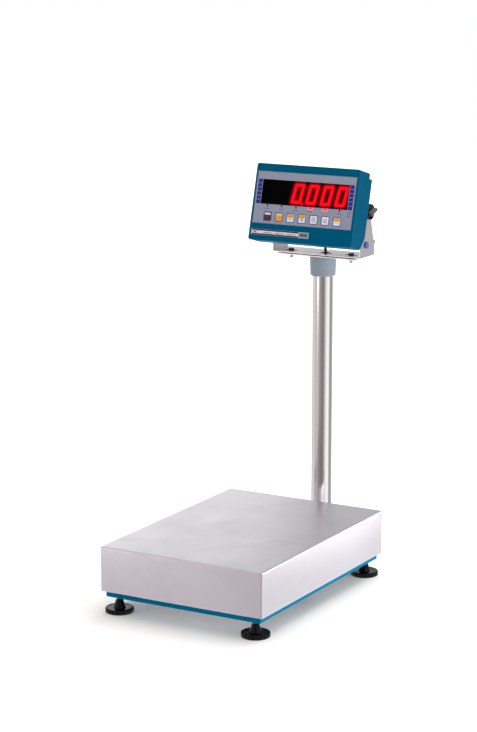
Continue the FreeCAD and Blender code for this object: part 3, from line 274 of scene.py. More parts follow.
def frame_band(centre, half, outer, inner):
    """Outlines of a rounded frame: each grows the half sizes and has a corner radius."""
    return tuple(rounded_outline(half[0] + grow, half[1] + grow, radius, 4, centre)
                 for grow, radius in (outer, inner))


def thin_frame(centre, half, radius):
    """Frame that is 0.7 mm wide inside its half sizes."""
    return frame_band(centre, half, (0, radius), (-0.0007, radius - 0.0004))


def quarter(radius, steps=5):
    """Inset and depth along a quarter circle, from the crest (inset = radius) to the side."""
    turn = np.linspace(0, math.pi / 2, steps + 1)
    return radius * (1 - np.sin(turn)), radius * (1 - np.cos(turn))


def arc(centre, radius, start, end, steps=5):
    """Points of an arc in a profile, angles in degrees from the outward direction."""
    angle = np.radians(np.linspace(start, end, steps + 1))
    return list(zip(centre[0] + radius * np.cos(angle), centre[1] + radius * np.sin(angle)))


def slab(low, high, corner, edge):
    """Rings of a slab across x and rise, thick along depth, with its front edge rounded."""
    centre, half = (low + high) / 2, (high - low) / 2
    insets, depths = quarter(edge)
    rings = []
    for inset, depth in zip(np.append(insets, 0), np.append(low[1] + depths, high[1])):
        rings += lay(rounded_outline(half[0] - inset, half[2] - inset, max(corner - inset, 1e-5),
                                     centre=centre[::2]), depth)
    return rings


def spin(profile, centre, count=96):
    """Rings of a profile of (radius, height) turned about an upright axis."""
    return [ring for radius, height in profile
            for ring in lay(disc_outline(centre, radius, count), height, axis=2)]


def weigh(mesh, name, values, domain="POINT"):
    """Give each point or edge of a mesh a value under a name."""
    layer = mesh.attributes.new(name, "FLOAT", domain)
    layer.data.foreach_set("value", np.asarray(values, np.float32))


def attach(piece, body, slot, *nodes):
    """Let a piece ride on a body, in place of CAD nodes; the slot is not used."""
    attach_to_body(piece, body)
    if nodes:
        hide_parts(*nodes)
    return piece


def eased_copy(name, node, edge, finish_name=None, outer_only=False, rim=0.0,
               leaned_frame=False):
    """Copy of a CAD node with merged vertices, joined flat faces and rounded edges.

    With outer_only, only edges on the skin of the node's box are rounded: both ends lie within
    the rim of the box's sides, across two axes or, in the leaned frame, across x or rise.
    """
    shape = bmesh.new()
    shape.from_mesh(NODES[node].data)
    bmesh.ops.remove_doubles(shape, verts=shape.verts, dist=2e-6)
    bmesh.ops.dissolve_limit(shape, angle_limit=math.radians(1.5), verts=shape.verts,
                             edges=shape.edges)
    mesh = bpy.data.meshes.new(name)
    shape.to_mesh(mesh)
    shape.free()
    mesh.materials.append(MATERIALS[finish_name or SLOT_OF[node]])
    mesh.polygons.foreach_set("material_index", [0] * len(mesh.polygons))
    mesh.polygons.foreach_set("use_smooth", [True] * len(mesh.polygons))
    mesh.set_sharp_from_angle(angle=CREASE)
    piece = in_scene(name, mesh)
    if edge:
        rounding = piece.modifiers.new("Rounding", "BEVEL")
        rounding.width = edge
        rounding.segments = 3
        rounding.use_clamp_overlap = outer_only
        rounding.limit_method = "WEIGHT" if outer_only else "ANGLE"
        rounding.angle_limit = CREASE
        rounding.miter_outer = "MITER_ARC"
        if outer_only:
            weigh_skin(mesh, rim, leaned_frame)
        evening = piece.modifiers.new("Even shading", "WEIGHTED_NORMAL")
        evening.keep_sharp = False
    return attach(piece, NODES[node]["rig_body"], SLOT_OF[node], node)


def weigh_skin(mesh, rim, leaned_frame):
    """Give a bevel weight of one to sharp edges on the skin of the mesh's box."""
    points = mesh_points(mesh)
    if leaned_frame:
        points = leaned(points)
    low, high = points.min(0), points.max(0)
    near = np.abs(points - (low + high) / 2) > (high - low) / 2 - max(rim, 1e-5)
    ends = np.zeros(len(mesh.edges) * 2, int)
    mesh.edges.foreach_get("vertices", ends)
    ends = ends.reshape(-1, 2)
    if leaned_frame:
        on_skin = (near[:, 0] | near[:, 2])[ends].all(1)
    else:
        on_skin = near[ends].all(1).sum(1) >= 2
    sharp = np.zeros(len(mesh.edges), bool)
    mesh.attributes["sharp_edge"].data.foreach_get("value", sharp)
    weigh(mesh, "bevel_weight_edge", sharp & on_skin, "EDGE")


def second_finish(piece, finish_name, chosen):
    """Give a second finish to the faces whose centre is chosen."""
    piece.data.materials.append(MATERIALS[finish_name])
    for face in piece.data.polygons:
        face.material_index = int(chosen(face.center))


def print_piece(name, shapes, front, finish_name, body="indicator", slot="overlay_film",
                bands=()):
    """Thin flat prints in one piece: outlines, and bands between pairs of outlines."""
    crest = front - bpy.context.scene.bench_sizes.print_height
    shells = [shell_of(to_row(lay(shape, front, crest))) for shape in shapes]
    shells += [shell_of(to_row(lay(outer, front, crest) + lay(inner, crest, front)), True)
               for outer, inner in bands]
    return attach(skin(name, shells, MATERIALS[finish_name], smooth=False), body, slot)


# ---------------------------------------------------------------- shader nodes

def feed(tree, node, inputs):
    """Give each named input of a node a value or another node's output."""
    for key, value in inputs.items():
        if isinstance(value, bpy.types.NodeSocket):
            tree.links.new(value, node.inputs[key])
        else:
            node.inputs[key].default_value = value
    return node.outputs


def add(tree, kind, inputs=None, **settings):
    """Outputs of a new shader node of a kind, with its settings and inputs."""
    node = tree.nodes.new("ShaderNode" + kind)
    for key, value in settings.items():
        setattr(node, key, value)
    return feed(tree, node, inputs or {})


def calc(tree, operation, *values, **settings):
    """Output of a maths node."""
    return add(tree, "Math", dict(enumerate(values)), operation=operation, **settings)[0]


def mix(tree, share, low, high):
    """Colour between two colours, or two outputs, by a share."""
    ends = [end if isinstance(end, bpy.types.NodeSocket) else (*end, 1) for end in (low, high)]
    return add(tree, "Mix", {0: share, 6: ends[0], 7: ends[1]}, data_type="RGBA")[2]


def remap(tree, value, low, high, to_low=0.0, to_high=1.0):
    """Value stretched from one range to another and held inside it."""
    return add(tree, "MapRange", {"Value": value, "From Min": low, "From Max": high,
                                  "To Min": to_low, "To Max": to_high})[0]


def reading(tree, name):
    """Value of a mesh's attribute."""
    return add(tree, "Attribute", attribute_name=name)["Fac"]


def effect(name, takes, gives):
    """Empty node group with inputs (name, value) and outputs that are values, by name."""
    tree = bpy.data.node_groups.new(name, "ShaderNodeTree")
    for label, value in takes.items():
        kind = "NodeSocketVector" if isinstance(value, tuple) else "NodeSocketFloat"
        socket = tree.interface.new_socket(label, in_out="INPUT", socket_type=kind)
        socket.default_value = value
    for label in gives:
        tree.interface.new_socket(label, in_out="OUTPUT", socket_type="NodeSocketFloat")
    return tree, tree.nodes.new("NodeGroupInput").outputs, tree.nodes.new("NodeGroupOutput")


def stretched_noise(tree, vector, stretch):
    """Noise over coordinates that are multiplied by a stretch, as a value of about 0.3 to 0.7."""
    scaled = add(tree, "VectorMath", {0: vector, 1: stretch}, operation="MULTIPLY")[0]
    return add(tree, "TexNoise", {"Vector": scaled, "Scale": 1.0, "Detail": 3.0,
                                  "Roughness": 0.6})["Fac"]


def surface_effect():
    """Fine relief and broad clouding: relief follows the stretch, clouding its own scale."""
    tree, given, out = effect("Surface", {"Vector": (0, 0, 0), "Stretch": (900, 900, 900),
                                          "Cloud Scale": 14.0}, ("Relief", "Cloud"))
    relief = stretched_noise(tree, given["Vector"], given["Stretch"])
    cloud = add(tree, "TexNoise", {"Vector": given["Vector"], "Detail": 3.0,
                                   "Scale": given["Cloud Scale"]})["Fac"]
    feed(tree, out, {"Relief": remap(tree, relief, 0.25, 0.75),
                     "Cloud": remap(tree, cloud, 0.3, 0.7)})


def brushed_effect():
    """Brushing that runs along the sheet: across x on top and the ends, across z on the sides."""
    tree, given, out = effect("Brushed", {"Vector": (0, 0, 0), "Normal": (0, 0, 1),
                                          "Fine": 1600.0, "Long": 9.0}, ("Relief",))
    fine, long = given["Fine"], given["Long"]
    noises = [stretched_noise(tree, given["Vector"], add(tree, "CombineXYZ", stretch)[0])
              for stretch in ({0: fine, 1: long, 2: long}, {0: long, 1: long, 2: fine})]
    aside = add(tree, "SeparateXYZ", {0: given["Normal"]})[0]
    flank = remap(tree, calc(tree, "ABSOLUTE", aside), 0.6, 0.8)
    chosen = add(tree, "Mix", {0: flank, 2: noises[0], 3: noises[1]})[0]
    feed(tree, out, {"Relief": remap(tree, chosen, 0.25, 0.75)})


def smudge_effect():
    """Handling marks: soft patches, as a mask that is mostly zero."""
    tree, given, out = effect("Smudges", {"Vector": (0, 0, 0), "Scale": 22.0}, ("Mask",))
    patches = add(tree, "TexNoise", {"Vector": given["Vector"], "Detail": 5.0,
                                     "Scale": given["Scale"], "Distortion": 0.6})
    feed(tree, out, {"Mask": remap(tree, patches["Fac"], 0.5, 0.8)})


def use(tree, group, inputs):
    """Outputs of an effect placed in a material, with its inputs given."""
    return add(tree, "Group", inputs, node_tree=bpy.data.node_groups[group])


def surface(tree, place, stretch=900, cloud=14.0):
    """Relief and clouding over the piece's own coordinates."""
    if not isinstance(stretch, tuple):
        stretch = (stretch,) * 3
    return use(tree, "Surface", {"Vector": place["Object"], "Stretch": stretch,
                                 "Cloud Scale": cloud})


def material(name):
    """New node material: its tree, its shader and its coordinates."""
    made = bpy.data.materials.new(name)
    made.use_nodes = True
    tree = made.node_tree
    return made, tree, tree.nodes["Principled BSDF"], add(tree, "TexCoord")


def wire(tree, shader, tint, cloud, relief, spread, roughness, uneven, bump, depth):
    """Feed a shader from a clouding value and a relief value.

    The tint is darkened by up to the spread where the clouding is low, the roughness changes by
    the uneven share, and the relief is a bump of a depth in metres.
    """
    feed(tree, shader, {
        "Base Color": mix(tree, cloud, [c * (1 - spread) for c in tint], tint),
        "Roughness": remap(tree, cloud, 0, 1, roughness * (1 + uneven), roughness * (1 - uneven)),
        "Normal": add(tree, "Bump", {"Height": relief, "Strength": bump, "Distance": depth})[0]})


def finish(name, tint, roughness, metallic, stretch, cloud, spread, uneven, bump, depth,
           specular, sheen=(1, 1, 1)):
    """Material with clouded colour, uneven gloss and a fine relief, its depth in microns."""
    made, tree, shader, place = material(name)
    given = surface(tree, place, stretch, cloud)
    wire(tree, shader, tint, given["Cloud"], given["Relief"], spread, roughness, uneven, bump,
         depth / 1e6)
    feed(tree, shader, {"Metallic": metallic, "Specular IOR Level": specular,
                        "Specular Tint": (*sheen, 1)})
    return made


def brushed_steel(name, tint, roughness):
    """Brushed stainless sheet with faint handling marks."""
    made, tree, shader, place = material(name)
    relief = use(tree, "Brushed", {"Vector": place["Object"], "Normal": place["Normal"]})["Relief"]
    marks = use(tree, "Smudges", {"Vector": place["Object"], "Scale": 16.0})["Mask"]
    cloud = calc(tree, "SUBTRACT", surface(tree, place, cloud=5.0)["Cloud"], marks,
                 use_clamp=True)
    mixed = add(tree, "Mix", {0: 0.35, 2: cloud, 3: relief})[0]
    wire(tree, shader, tint, mixed, relief, 0.07, roughness, 0.16, 0.12, 0.00005)
    feed(tree, shader, {"Metallic": 1.0})
    return made


def glow(name, tint, strength):
    """Lit segment: brighter in its middle, where the attribute core is one."""
    made, tree, shader, place = material(name)
    level = remap(tree, reading(tree, "core"), 0, 1, 0.72, 1.0)
    grit = surface(tree, place, 1500)["Relief"]
    feed(tree, shader, {
        "Base Color": (0.02, 0.0, 0.0, 1), "Specular IOR Level": 0.05,
        "Roughness": remap(tree, grit, 0, 1, 0.3, 0.45), "Emission Strength": strength,
        "Emission Color": mix(tree, level, (tint[0] * 0.8, 0, 0), tint)})
    return made


def glow_film(name, film, tint):
    """Keypad film that a lamp behind it colours, most where the attribute core is one."""
    made, tree, shader, place = material(name)
    core = reading(tree, "core")
    grain = surface(tree, place, 2200)["Relief"]
    feed(tree, shader, {
        "Base Color": mix(tree, core, film, tint), "Specular IOR Level": 0.4,
        "Roughness": remap(tree, grain, 0, 1, 0.3, 0.38), "Emission Strength": 0.5,
        "Emission Color": mix(tree, core, (0, 0, 0), tint)})
    return made


def display_glass(name, tint):
    """Dark display window; the attribute halo is the light that spreads round lit segments."""
    made, tree, shader, place = material(name)
    given = surface(tree, place, cloud=30.0)
    wire(tree, shader, tint, given["Cloud"], given["Relief"], 0.3, 0.22, 0.2, 0.05, 0.00002)
    feed(tree, shader, {
        "Emission Color": mix(tree, reading(tree, "halo"), (0, 0, 0), (0.34, 0.0, 0.006)),
        "Emission Strength": 1.0, "Specular IOR Level": 0.02})
    return made


def circuit_board(name):
    """Green board with rows of lighter tracks, from a brick pattern."""
    made, tree, shader, place = material(name)
    upright = add(tree, "Mapping", {"Vector": place["Object"],
                                    "Rotation": (math.radians(90), 0, 0)})[0]
    tracks = add(tree, "TexBrick", {
        "Vector": upright, "Scale": 60.0, "Color1": (0.01, 0.10, 0.035, 1),
        "Color2": (0.008, 0.075, 0.03, 1), "Mortar": (0.05, 0.22, 0.09, 1), "Mortar Size": 0.03})
    dull = remap(tree, surface(tree, place)["Cloud"], 0, 1, 0.35, 0.5)
    feed(tree, shader, {"Base Color": tracks["Color"], "Roughness": dull})
    return made


# For each finish: a colour or a colour setting's name, roughness, metal, stretch of the relief,
# scale of the clouding, its spread, uneven gloss, bump, its depth in microns, specular level and,
# on enamel, the tint of its reflections.
ENAMEL_SHEEN = (0.01, 0.5, 0.8)
FINISHES = {
    "stainless_tube": ("tube", 0.17, 1, (700, 700, 6), 6, 0.05, 0.1, 0.08, 40, 0.5),
    "zinc_steel": ("zinc", 0.34, 1, 900, 60, 0.16, 0.12, 0.25, 80, 0.5),
    "dark_bolt": ((0.055, 0.045, 0.045), 0.36, 0.9, 900, 90, 0.3, 0.12, 0.25, 80, 0.5),
    "teal_paint": ("frame_teal", 0.42, 0, 1400, 9, 0.1, 0.1, 0.35, 120, 0.015, ENAMEL_SHEEN),
    "teal_housing": ("housing_teal", 0.45, 0, 1100, 12, 0.12, 0.1, 0.3, 100, 0.02,
                     ENAMEL_SHEEN),
    "cell_aluminium": ((0.68, 0.69, 0.70), 0.3, 1, (20, 900, 900), 14, 0.08, 0.12, 0.25, 80, 0.5),
    "black_plastic": ("black", 0.16, 0, 1300, 25, 0.3, 0.15, 0.2, 60, 0.14),
    # knob wings: grey that is partly their own colour and partly a painted highlight
    "wing_plastic": ((0.10, 0.095, 0.11), 0.38, 0, 900, 40, 0.25, 0.12, 0.25, 80, 0.5),
    "blue_plastic": ((0.055, 0.12, 0.46), 0.3, 0, 1100, 60, 0.15, 0.1, 0.15, 50, 0.4),
    "collar_plastic": ("collar", 0.42, 0, (1200, 1200, 300), 16, 0.1, 0.1, 0.2, 80, 0.4),
    "black_rubber": ((0.016, 0.016, 0.017), 0.72, 0, 900, 14, 0.25, 0.12, 0.25, 80, 0.3),
    "cable_jacket": ((0.012, 0.012, 0.013), 0.45, 0, 900, 14, 0.25, 0.12, 0.25, 80, 0.5),
    "overlay_film": ("overlay", 0.34, 0, 2200, 18, 0.05, 0.1, 0.12, 30, 0.4),
    "digit_body": ((0.02, 0.018, 0.02), 0.4, 0, 900, 14, 0.2, 0.12, 0.25, 80, 0.5),
    "label_silver": ("label", 0.3, 0.6, (60, 2400, 2400), 30, 0.06, 0.12, 0.25, 80, 0.5),
    "key_black": ((0.018, 0.012, 0.02), 0.35, 0, 900, 14, 0.25, 0.12, 0.25, 80, 0.5),
    "key_amber": ("amber", 0.36, 0, 900, 120, 0.1, 0.12, 0.25, 80, 0.5),
    "key_white": ("white", 0.36, 0, 900, 120, 0.06, 0.12, 0.25, 80, 0.5),
    "ink_blue": ("ink_blue", 0.4, 0, 900, 120, 0.25, 0.12, 0.25, 80, 0.2),
    "ink_pale": ((0.20, 0.24, 0.52), 0.4, 0, 900, 120, 0.15, 0.12, 0.25, 80, 0.5),
    "ink_dark": ((0.012, 0.012, 0.03), 0.42, 0, 900, 120, 0.2, 0.12, 0.25, 80, 0.2),
    "ink_grey": ((0.12, 0.12, 0.155), 0.42, 0, 900, 120, 0.2, 0.12, 0.25, 80, 0.5),
    "ink_red": ((0.35, 0.03, 0.03), 0.42, 0, 900, 120, 0.2, 0.12, 0.25, 80, 0.5),
    "label_white": ((0.74, 0.62, 0.72), 0.36, 0, 900, 120, 0.06, 0.12, 0.25, 80, 0.5),
}


def build_materials():
    """All finishes, named after the record's slots and the prints."""
    colours = bpy.context.scene.bench_colours
    surface_effect()
    brushed_effect()
    smudge_effect()
    for name, (tint, *rest) in FINISHES.items():
        if isinstance(tint, str):
            tint = tuple(getattr(colours, tint))
        MATERIALS[name] = finish(name, tint, *rest)
    MATERIALS.update({
        "stainless_sheet": brushed_steel("stainless_sheet", tuple(colours.steel), 0.38),
        "yoke_sheet": brushed_steel("yoke_sheet", tuple(colours.yoke), 0.34),
        "window_film": display_glass("window_film", (0.0006, 0.0003, 0.0005)),
        "board_green": circuit_board("board_green"),
        "lit": glow("lit", tuple(colours.lit), 1.15),
        "lit_mark": glow("lit_mark", (0.5, 0.0, 0.05), 0.9),
        "film_glow": glow_film("film_glow", tuple(colours.overlay), (0.9, 0.12, 0.22)),
    })


# ---------------------------------------------------------------- weighing base

class Step:
    """Operator that builds one group of pieces."""

    def execute(self, context):
        self.build(context.scene.bench_sizes)
        return {"FINISHED"}


class BENCH_OT_pan(Step, bpy.types.Operator):
    """Pan: rounded rectangle rings up the skirt, a quarter-circle bend and a flat top"""
    bl_idname = "bench.pan"
    bl_label = "Pan"

    def build(self, sizes):
        low, high = box("pan")
        centre, half = (low + high) / 2, (high - low) / 2
        bend, sheet, foot, top = sizes.pan_bend, sizes.pan_sheet, low[2], high[2]
        lip = sheet / 4
        rows = [(sheet + inset, top - sheet - drop)
                for inset, drop in zip(*quarter(bend - sheet, 3))]
        rows += [(sheet, foot + lip), (sheet - lip, foot), (lip, foot), (0, foot + lip)]
        rows += [(inset, top - drop) for inset, drop in zip(*quarter(bend, 6))][::-1]
        rings = []
        for inset, level in rows:
            rings += lay(rounded_outline(half[0] - inset, half[1] - inset,
                                         max(bend - inset, bend / 5), centre=centre[:2]),
                         level, axis=2)
        pan = loft("steel_pan", [rings], MATERIALS["stainless_sheet"])
        attach(pan, "pan", "stainless_sheet", "pan")


class BENCH_OT_feet(Step, bpy.types.Operator):
    """Feet: a turned profile whose rim has round flutes, and a threaded stud"""
    bl_idname = "bench.feet"
    bl_label = "Feet"

    flutes = 30
    flute_radius = 0.0018
    disc = 0.0085
    fillet = 0.0016
    hub_fillet = 0.0012
    thread_pitch = 0.0015
    thread_depth = 0.0006

    def fluted(self, radius, around):
        """Rim radius: distance to the nearest flute's circle, whose centre is just outside."""
        centre = radius + self.flute_radius / 2
        pitch = 2 * math.pi / self.flutes
        off = (around + pitch / 2) % pitch - pitch / 2
        reach = self.flute_radius ** 2 - (centre * np.sin(off)) ** 2
        scoop = centre * np.cos(off) - np.sqrt(np.maximum(reach, 0))
        return np.where(reach > 0, np.minimum(scoop, radius), radius)

    def pad(self, corner):
        """One foot disc with its hub."""
        node = "foot_pad_" + corner
        low, high = box(node)
        radius, disc, fillet = (high[0] - low[0]) / 2, self.disc, self.fillet
        hub_base, hub_top, hub_fillet = 0.41 * radius, 0.26 * radius, self.hub_fillet
        profile = [(0.8 * radius, 0.0), (radius - 0.001, 0.0),
                   *arc((radius - 0.001, 0.001), 0.001, -60, 0, 2),
                   *arc((radius - fillet, disc - fillet), fillet, 0, 90, 4),
                   (0.84 * radius, disc), (0.81 * radius, disc - 0.0007),
                   (hub_base + fillet, disc - 0.0007),
                   *arc((hub_base + fillet, disc + 0.0009), fillet, 270, 200, 3),
                   *arc((hub_top - hub_fillet, high[2] - hub_fillet), hub_fillet, 15, 90, 4)]
        count = self.flutes * 8
        rim = self.fluted(radius, np.linspace(0, 2 * math.pi, count, endpoint=False))
        rows = [(np.minimum(r, rim - (radius - r)) if r > 0.85 * radius else r, level)
                for r, level in profile]
        piece = loft("foot_disc_" + corner, [spin(rows, (low + high) / 2, count)],
                     MATERIALS["black_plastic"], angle=35)
        attach(piece, "foot_" + corner, "black_plastic", node)

    def stud(self, corner):
        """Stud with a ridged thread: the radius follows a triangle wave up its length."""
        node = "foot_stud_" + corner
        low, high = box(node)
        crest = (high[0] - low[0]) / 2
        root = crest - self.thread_depth
        turns = int((high[2] - low[2]) / self.thread_pitch)
        profile = [(crest if half_turn % 2 else root, low[2] + half_turn * self.thread_pitch / 2)
                   for half_turn in range(2 * turns)] + [(root, high[2])]
        piece = loft("foot_thread_" + corner, [spin(profile, (low + high) / 2, 32)],
                     MATERIALS["zinc_steel"])
        attach(piece, "foot_" + corner, SLOT_OF[node], node)

    def build(self, sizes):
        for corner in ("front_left", "front_right", "rear_left", "rear_right"):
            self.pad(corner)
            self.stud(corner)


class BENCH_OT_base_frame(Step, bpy.types.Operator):
    """Painted tubes of the base frame, copied from the CAD nodes with rounded outer edges"""
    bl_idname = "bench.base_frame"
    bl_label = "Base frame"

    def build(self, sizes):
        for part in ("rail_left", "rail_right", "rail_front", "rail_rear", "beam"):
            eased_copy("painted_" + part, "frame_" + part, sizes.rail_edge, outer_only=True)
        eased_copy("bracket_plate", "post_bracket", sizes.rail_edge / 3, outer_only=True)


class BENCH_OT_load_parts(Step, bpy.types.Operator):
    """Load cell, load frame, spacers, stops, bolts and nuts, with their edges eased"""
    bl_idname = "bench.load_parts"
    bl_label = "Load parts"

    edges = {"load_cell": 0.0004, "load_cell_spacer": 0.0004, "load_spacer": 0.0004,
             "load_frame_cross": 0.0005, "load_frame_bars": 0.0008, "rubber_pads": 0.0005,
             "load_cell_bolts": 0.0003, "load_frame_bolts": 0.0003, "overload_stops": 0.0003,
             "foot_nuts": 0.0003, "post_bolts": 0.0003, "post_flange": 0.0006}

    def build(self, sizes):
        for node, edge in self.edges.items():
            eased_copy("eased_" + node, node, edge)


# ---------------------------------------------------------------- post, collar and yoke

class BENCH_OT_post(Step, bpy.types.Operator):
    """Post and its grommet, copied from the CAD nodes"""
    bl_idname = "bench.post"
    bl_label = "Post"

    def build(self, sizes):
        eased_copy("steel_post", "post", 0)
        eased_copy("rubber_grommet", "post_grommet", 0.0003)


class BENCH_OT_collar(Step, bpy.types.Operator):
    """Collar: a turned, slightly flared sleeve with a rounded mouth and a faint step"""
    bl_idname = "bench.collar"
    bl_label = "Collar"

    flare = 0.0015
    mouth = 0.0018
    step = 0.0004
    ledge_drop = 0.0065
    cable_way = 0.016

    def build(self, sizes):
        (low, high), (post_low, post_high) = box("collar"), box("post")
        radius, mouth, step = (high[0] - low[0]) / 2, self.mouth, self.step
        bore = (post_high[0] - post_low[0]) / 2 + 0.0001
        ledge = high[2] - self.ledge_drop
        profile = [(bore, low[2] + 0.001), (bore + 0.0008, low[2]),
                   *arc((radius - self.flare - mouth, low[2] + mouth), mouth, -80, 0, 5),
                   (radius - step - 0.0002, ledge), (radius - step, ledge + step),
                   (radius, ledge + 2 * step),
                   *arc((radius - step, high[2] - step), step, 0, 90, 3),
                   (self.cable_way, high[2]), (self.cable_way, post_high[2]),
                   (bore, post_high[2])]
        piece = loft("moulded_collar", [spin(profile, (low + high) / 2)],
                     MATERIALS["collar_plastic"], closed=True)
        attach(piece, "base", "collar_plastic", "collar")


class BENCH_OT_yoke(Step, bpy.types.Operator):
    """Yoke, top plate, spacers, bolts and screws, with their sheet edges eased"""
    bl_idname = "bench.yoke"
    bl_label = "Yoke"

    def build(self, sizes):
        edge = sizes.sheet_edge
        eased_copy("bent_yoke", "yoke", edge, "yoke_sheet")
        eased_copy("top_plate", "post_top_plate", edge, "yoke_sheet")
        eased_copy("spacer_rings", "yoke_spacers", edge)
        eased_copy("blue_plugs", "yoke_plugs", 2 * edge)
        eased_copy("plate_fixings", "plate_screws", edge)
        level = box("post_top_plate")[0][2]
        second_finish(eased_copy("yoke_fixings", "yoke_bolts", edge), "zinc_steel",
                      lambda centre: centre.z < level)


# ---------------------------------------------------------------- indicator

class BENCH_OT_housing(Step, bpy.types.Operator):
    """Housing: front shell with rounded outer edges, rear cover, gasket, screws and fittings"""
    bl_idname = "bench.housing"
    bl_label = "Housing"

    def build(self, sizes):
        eased_copy("enamel_front", "front_shell", sizes.shell_edge, outer_only=True, rim=0.0028,
                   leaned_frame=True)
        eased_copy("enamel_rear", "rear_cover", 0)
        eased_copy("rubber_gasket", "gasket", 0.0002)
        eased_copy("cover_fixings", "cover_screws", 0.0003)
        eased_copy("gland_body", "cable_gland", 0.0004)
        eased_copy("inlet_body", "power_inlet", 0.0004)


class BENCH_OT_overlay(Step, bpy.types.Operator):
    """Keypad film's blue columns, marks and key frames, and the label strip"""
    bl_idname = "bench.overlay"
    bl_label = "Overlay"

    column_wide = 0.0086
    column_off = 0.0053
    pointer = np.array([[-0.0021, 0.0022], [0, -0.0024], [0.0021, 0.0022]])
    lit_pointers = (3, 4)
    glow_radius = 0.0074
    glow_steps = np.array([1, 0.85, 0.7, 0.55, 0.4, 0.25, 0.08])

    def columns(self, front):
        """Blue column on each side of the window, cut by pale lines."""
        low, high = leaned_box("display_window")
        places, tall = (low[0] - self.column_off, high[0] + self.column_off), high[2] - low[2]
        shapes = [bar(x, low[2] + tall / 2, self.column_wide, tall) for x in places]
        lines = [bar(x, low[2] + share * tall, self.column_wide, 0.0011)
                 for x in places for share in np.arange(1, 6) / 6]
        print_piece("printed_columns", shapes, front, "ink_blue")
        print_piece("printed_column_lines", lines, front - OVERPRINT, "ink_pale")

    def glow_rings(self, x, rise, front):
        """Rings of a flat round print that narrows to its middle, clipped below the window."""
        limit = leaned_box("display_window")[0][2] - 0.0003
        rings = []
        for share, depth in [(1, front), *((step, front - 0.00003) for step in self.glow_steps)]:
            circle = disc_outline((x, rise), self.glow_radius * share, 32)
            rings += lay(np.minimum(circle, (np.inf, limit)), depth)
        return to_row(rings)

    def marks(self, front):
        """Row of small pointers under the window; two of them are lit and colour the film."""
        low, high = leaned_box("display_window")
        pitch = (high[0] - low[0]) / DIGITS
        rise = low[2] - 0.003
        dark, faint, lit, glows = [], [], [], []
        for index in range(DIGITS):
            x = low[0] + (index + 0.5) * pitch
            signs = [bar(x + offset, rise - 0.0052, wide, 0.0018)
                     for offset, wide in ((-0.0025, 0.0034), (0.0023, 0.003))]
            (lit if index in self.lit_pointers else dark).append(self.pointer + (x, rise))
            (dark if index == self.lit_pointers[0] else faint).extend(signs)
            if index in self.lit_pointers:
                glows.append(self.glow_rings(x, rise - 0.0004, front))
        raised = front - 0.00004
        print_piece("printed_pointers", dark, raised, "ink_dark")
        print_piece("printed_signs", faint, raised, "ink_grey")
        lamps = print_piece("lit_pointers", lit, raised, "lit_mark", slot="digit_body")
        weigh(lamps.data, "core", np.ones(len(lamps.data.vertices)))
        spread = loft("lit_film", glows, MATERIALS["film_glow"])
        fade = np.repeat([0, *(1 - self.glow_steps ** 2) ** 2], 32)
        weigh(spread.data, "core", np.tile(fade, len(glows)))
        attach(spread, "indicator", "overlay_film")

    def frames(self, front):
        """Line round each key, a small empty frame, and a fine rim inside the film's edge."""
        bands = []
        for index in range(7):
            low, high = leaned_box(f"key_{index + 1}")
            bands.append(frame_band((low + high)[::2] / 2, (high - low)[::2] / 2,
                                    (0.0013, 0.002), (0.0004, 0.0012)))
        low, high = leaned_box("display_window")
        bands.append(thin_frame((high[0] + 0.0045, low[2] - 0.0082), (0.0026, 0.0036), 0.0008))
        print_piece("printed_frames", [], front, "ink_blue", bands=bands)
        low, high = leaned_box("overlay")
        rim = frame_band((low + high)[::2] / 2, (high - low)[::2] / 2, (-0.0001, 0.001),
                         (-0.0007, 0.0006))
        print_piece("printed_rim", [], front, "ink_grey", bands=[rim])

    def label(self):
        """Silver strip with a white panel, a grey end panel and plain lines.

        Each bar has its middle, width and height as shares of the strip's.
        """
        low, high = leaned_box("label_plate")
        strip = loft("label_strip", [to_row(slab(low, high, 0.0006, 0.0002))],
                     MATERIALS["label_silver"])
        attach(strip, "indicator", "label_silver", "label_plate")
        wide, tall, middle = high[0] - low[0], high[2] - low[2], (low[2] + high[2]) / 2
        for name, finish_name, lift, bars in (
                ("label_panel", "label_white", 0, [(0.42, 0, 0.80, 0.52)]),
                ("label_lines", "ink_dark", 0, [(0.42, -0.35, 0.80, 0.22),
                                                (0.42, 0.35, 0.80, 0.22)]),
                ("label_end_panel", "ink_grey", 0, [(0.91, 0, 0.13, 0.6)]),
                ("label_rules", "ink_grey", OVERPRINT, [(x, -0.06, 0.16, 0.1)
                                                        for x in (0.3, 0.5, 0.7)]),
                ("label_spot", "ink_red", OVERPRINT, [(0.07, 0, 0.05, 0.2)])):
            shapes = [bar(low[0] + x * wide, middle + rise * tall, w * wide, h * tall)
                      for x, rise, w, h in bars]
            print_piece(name, shapes, low[1] - lift, finish_name, slot="label_silver")

    def build(self, sizes):
        front = leaned_box("overlay")[0][1]
        self.columns(front)
        self.marks(front)
        self.frames(front)
        self.label()


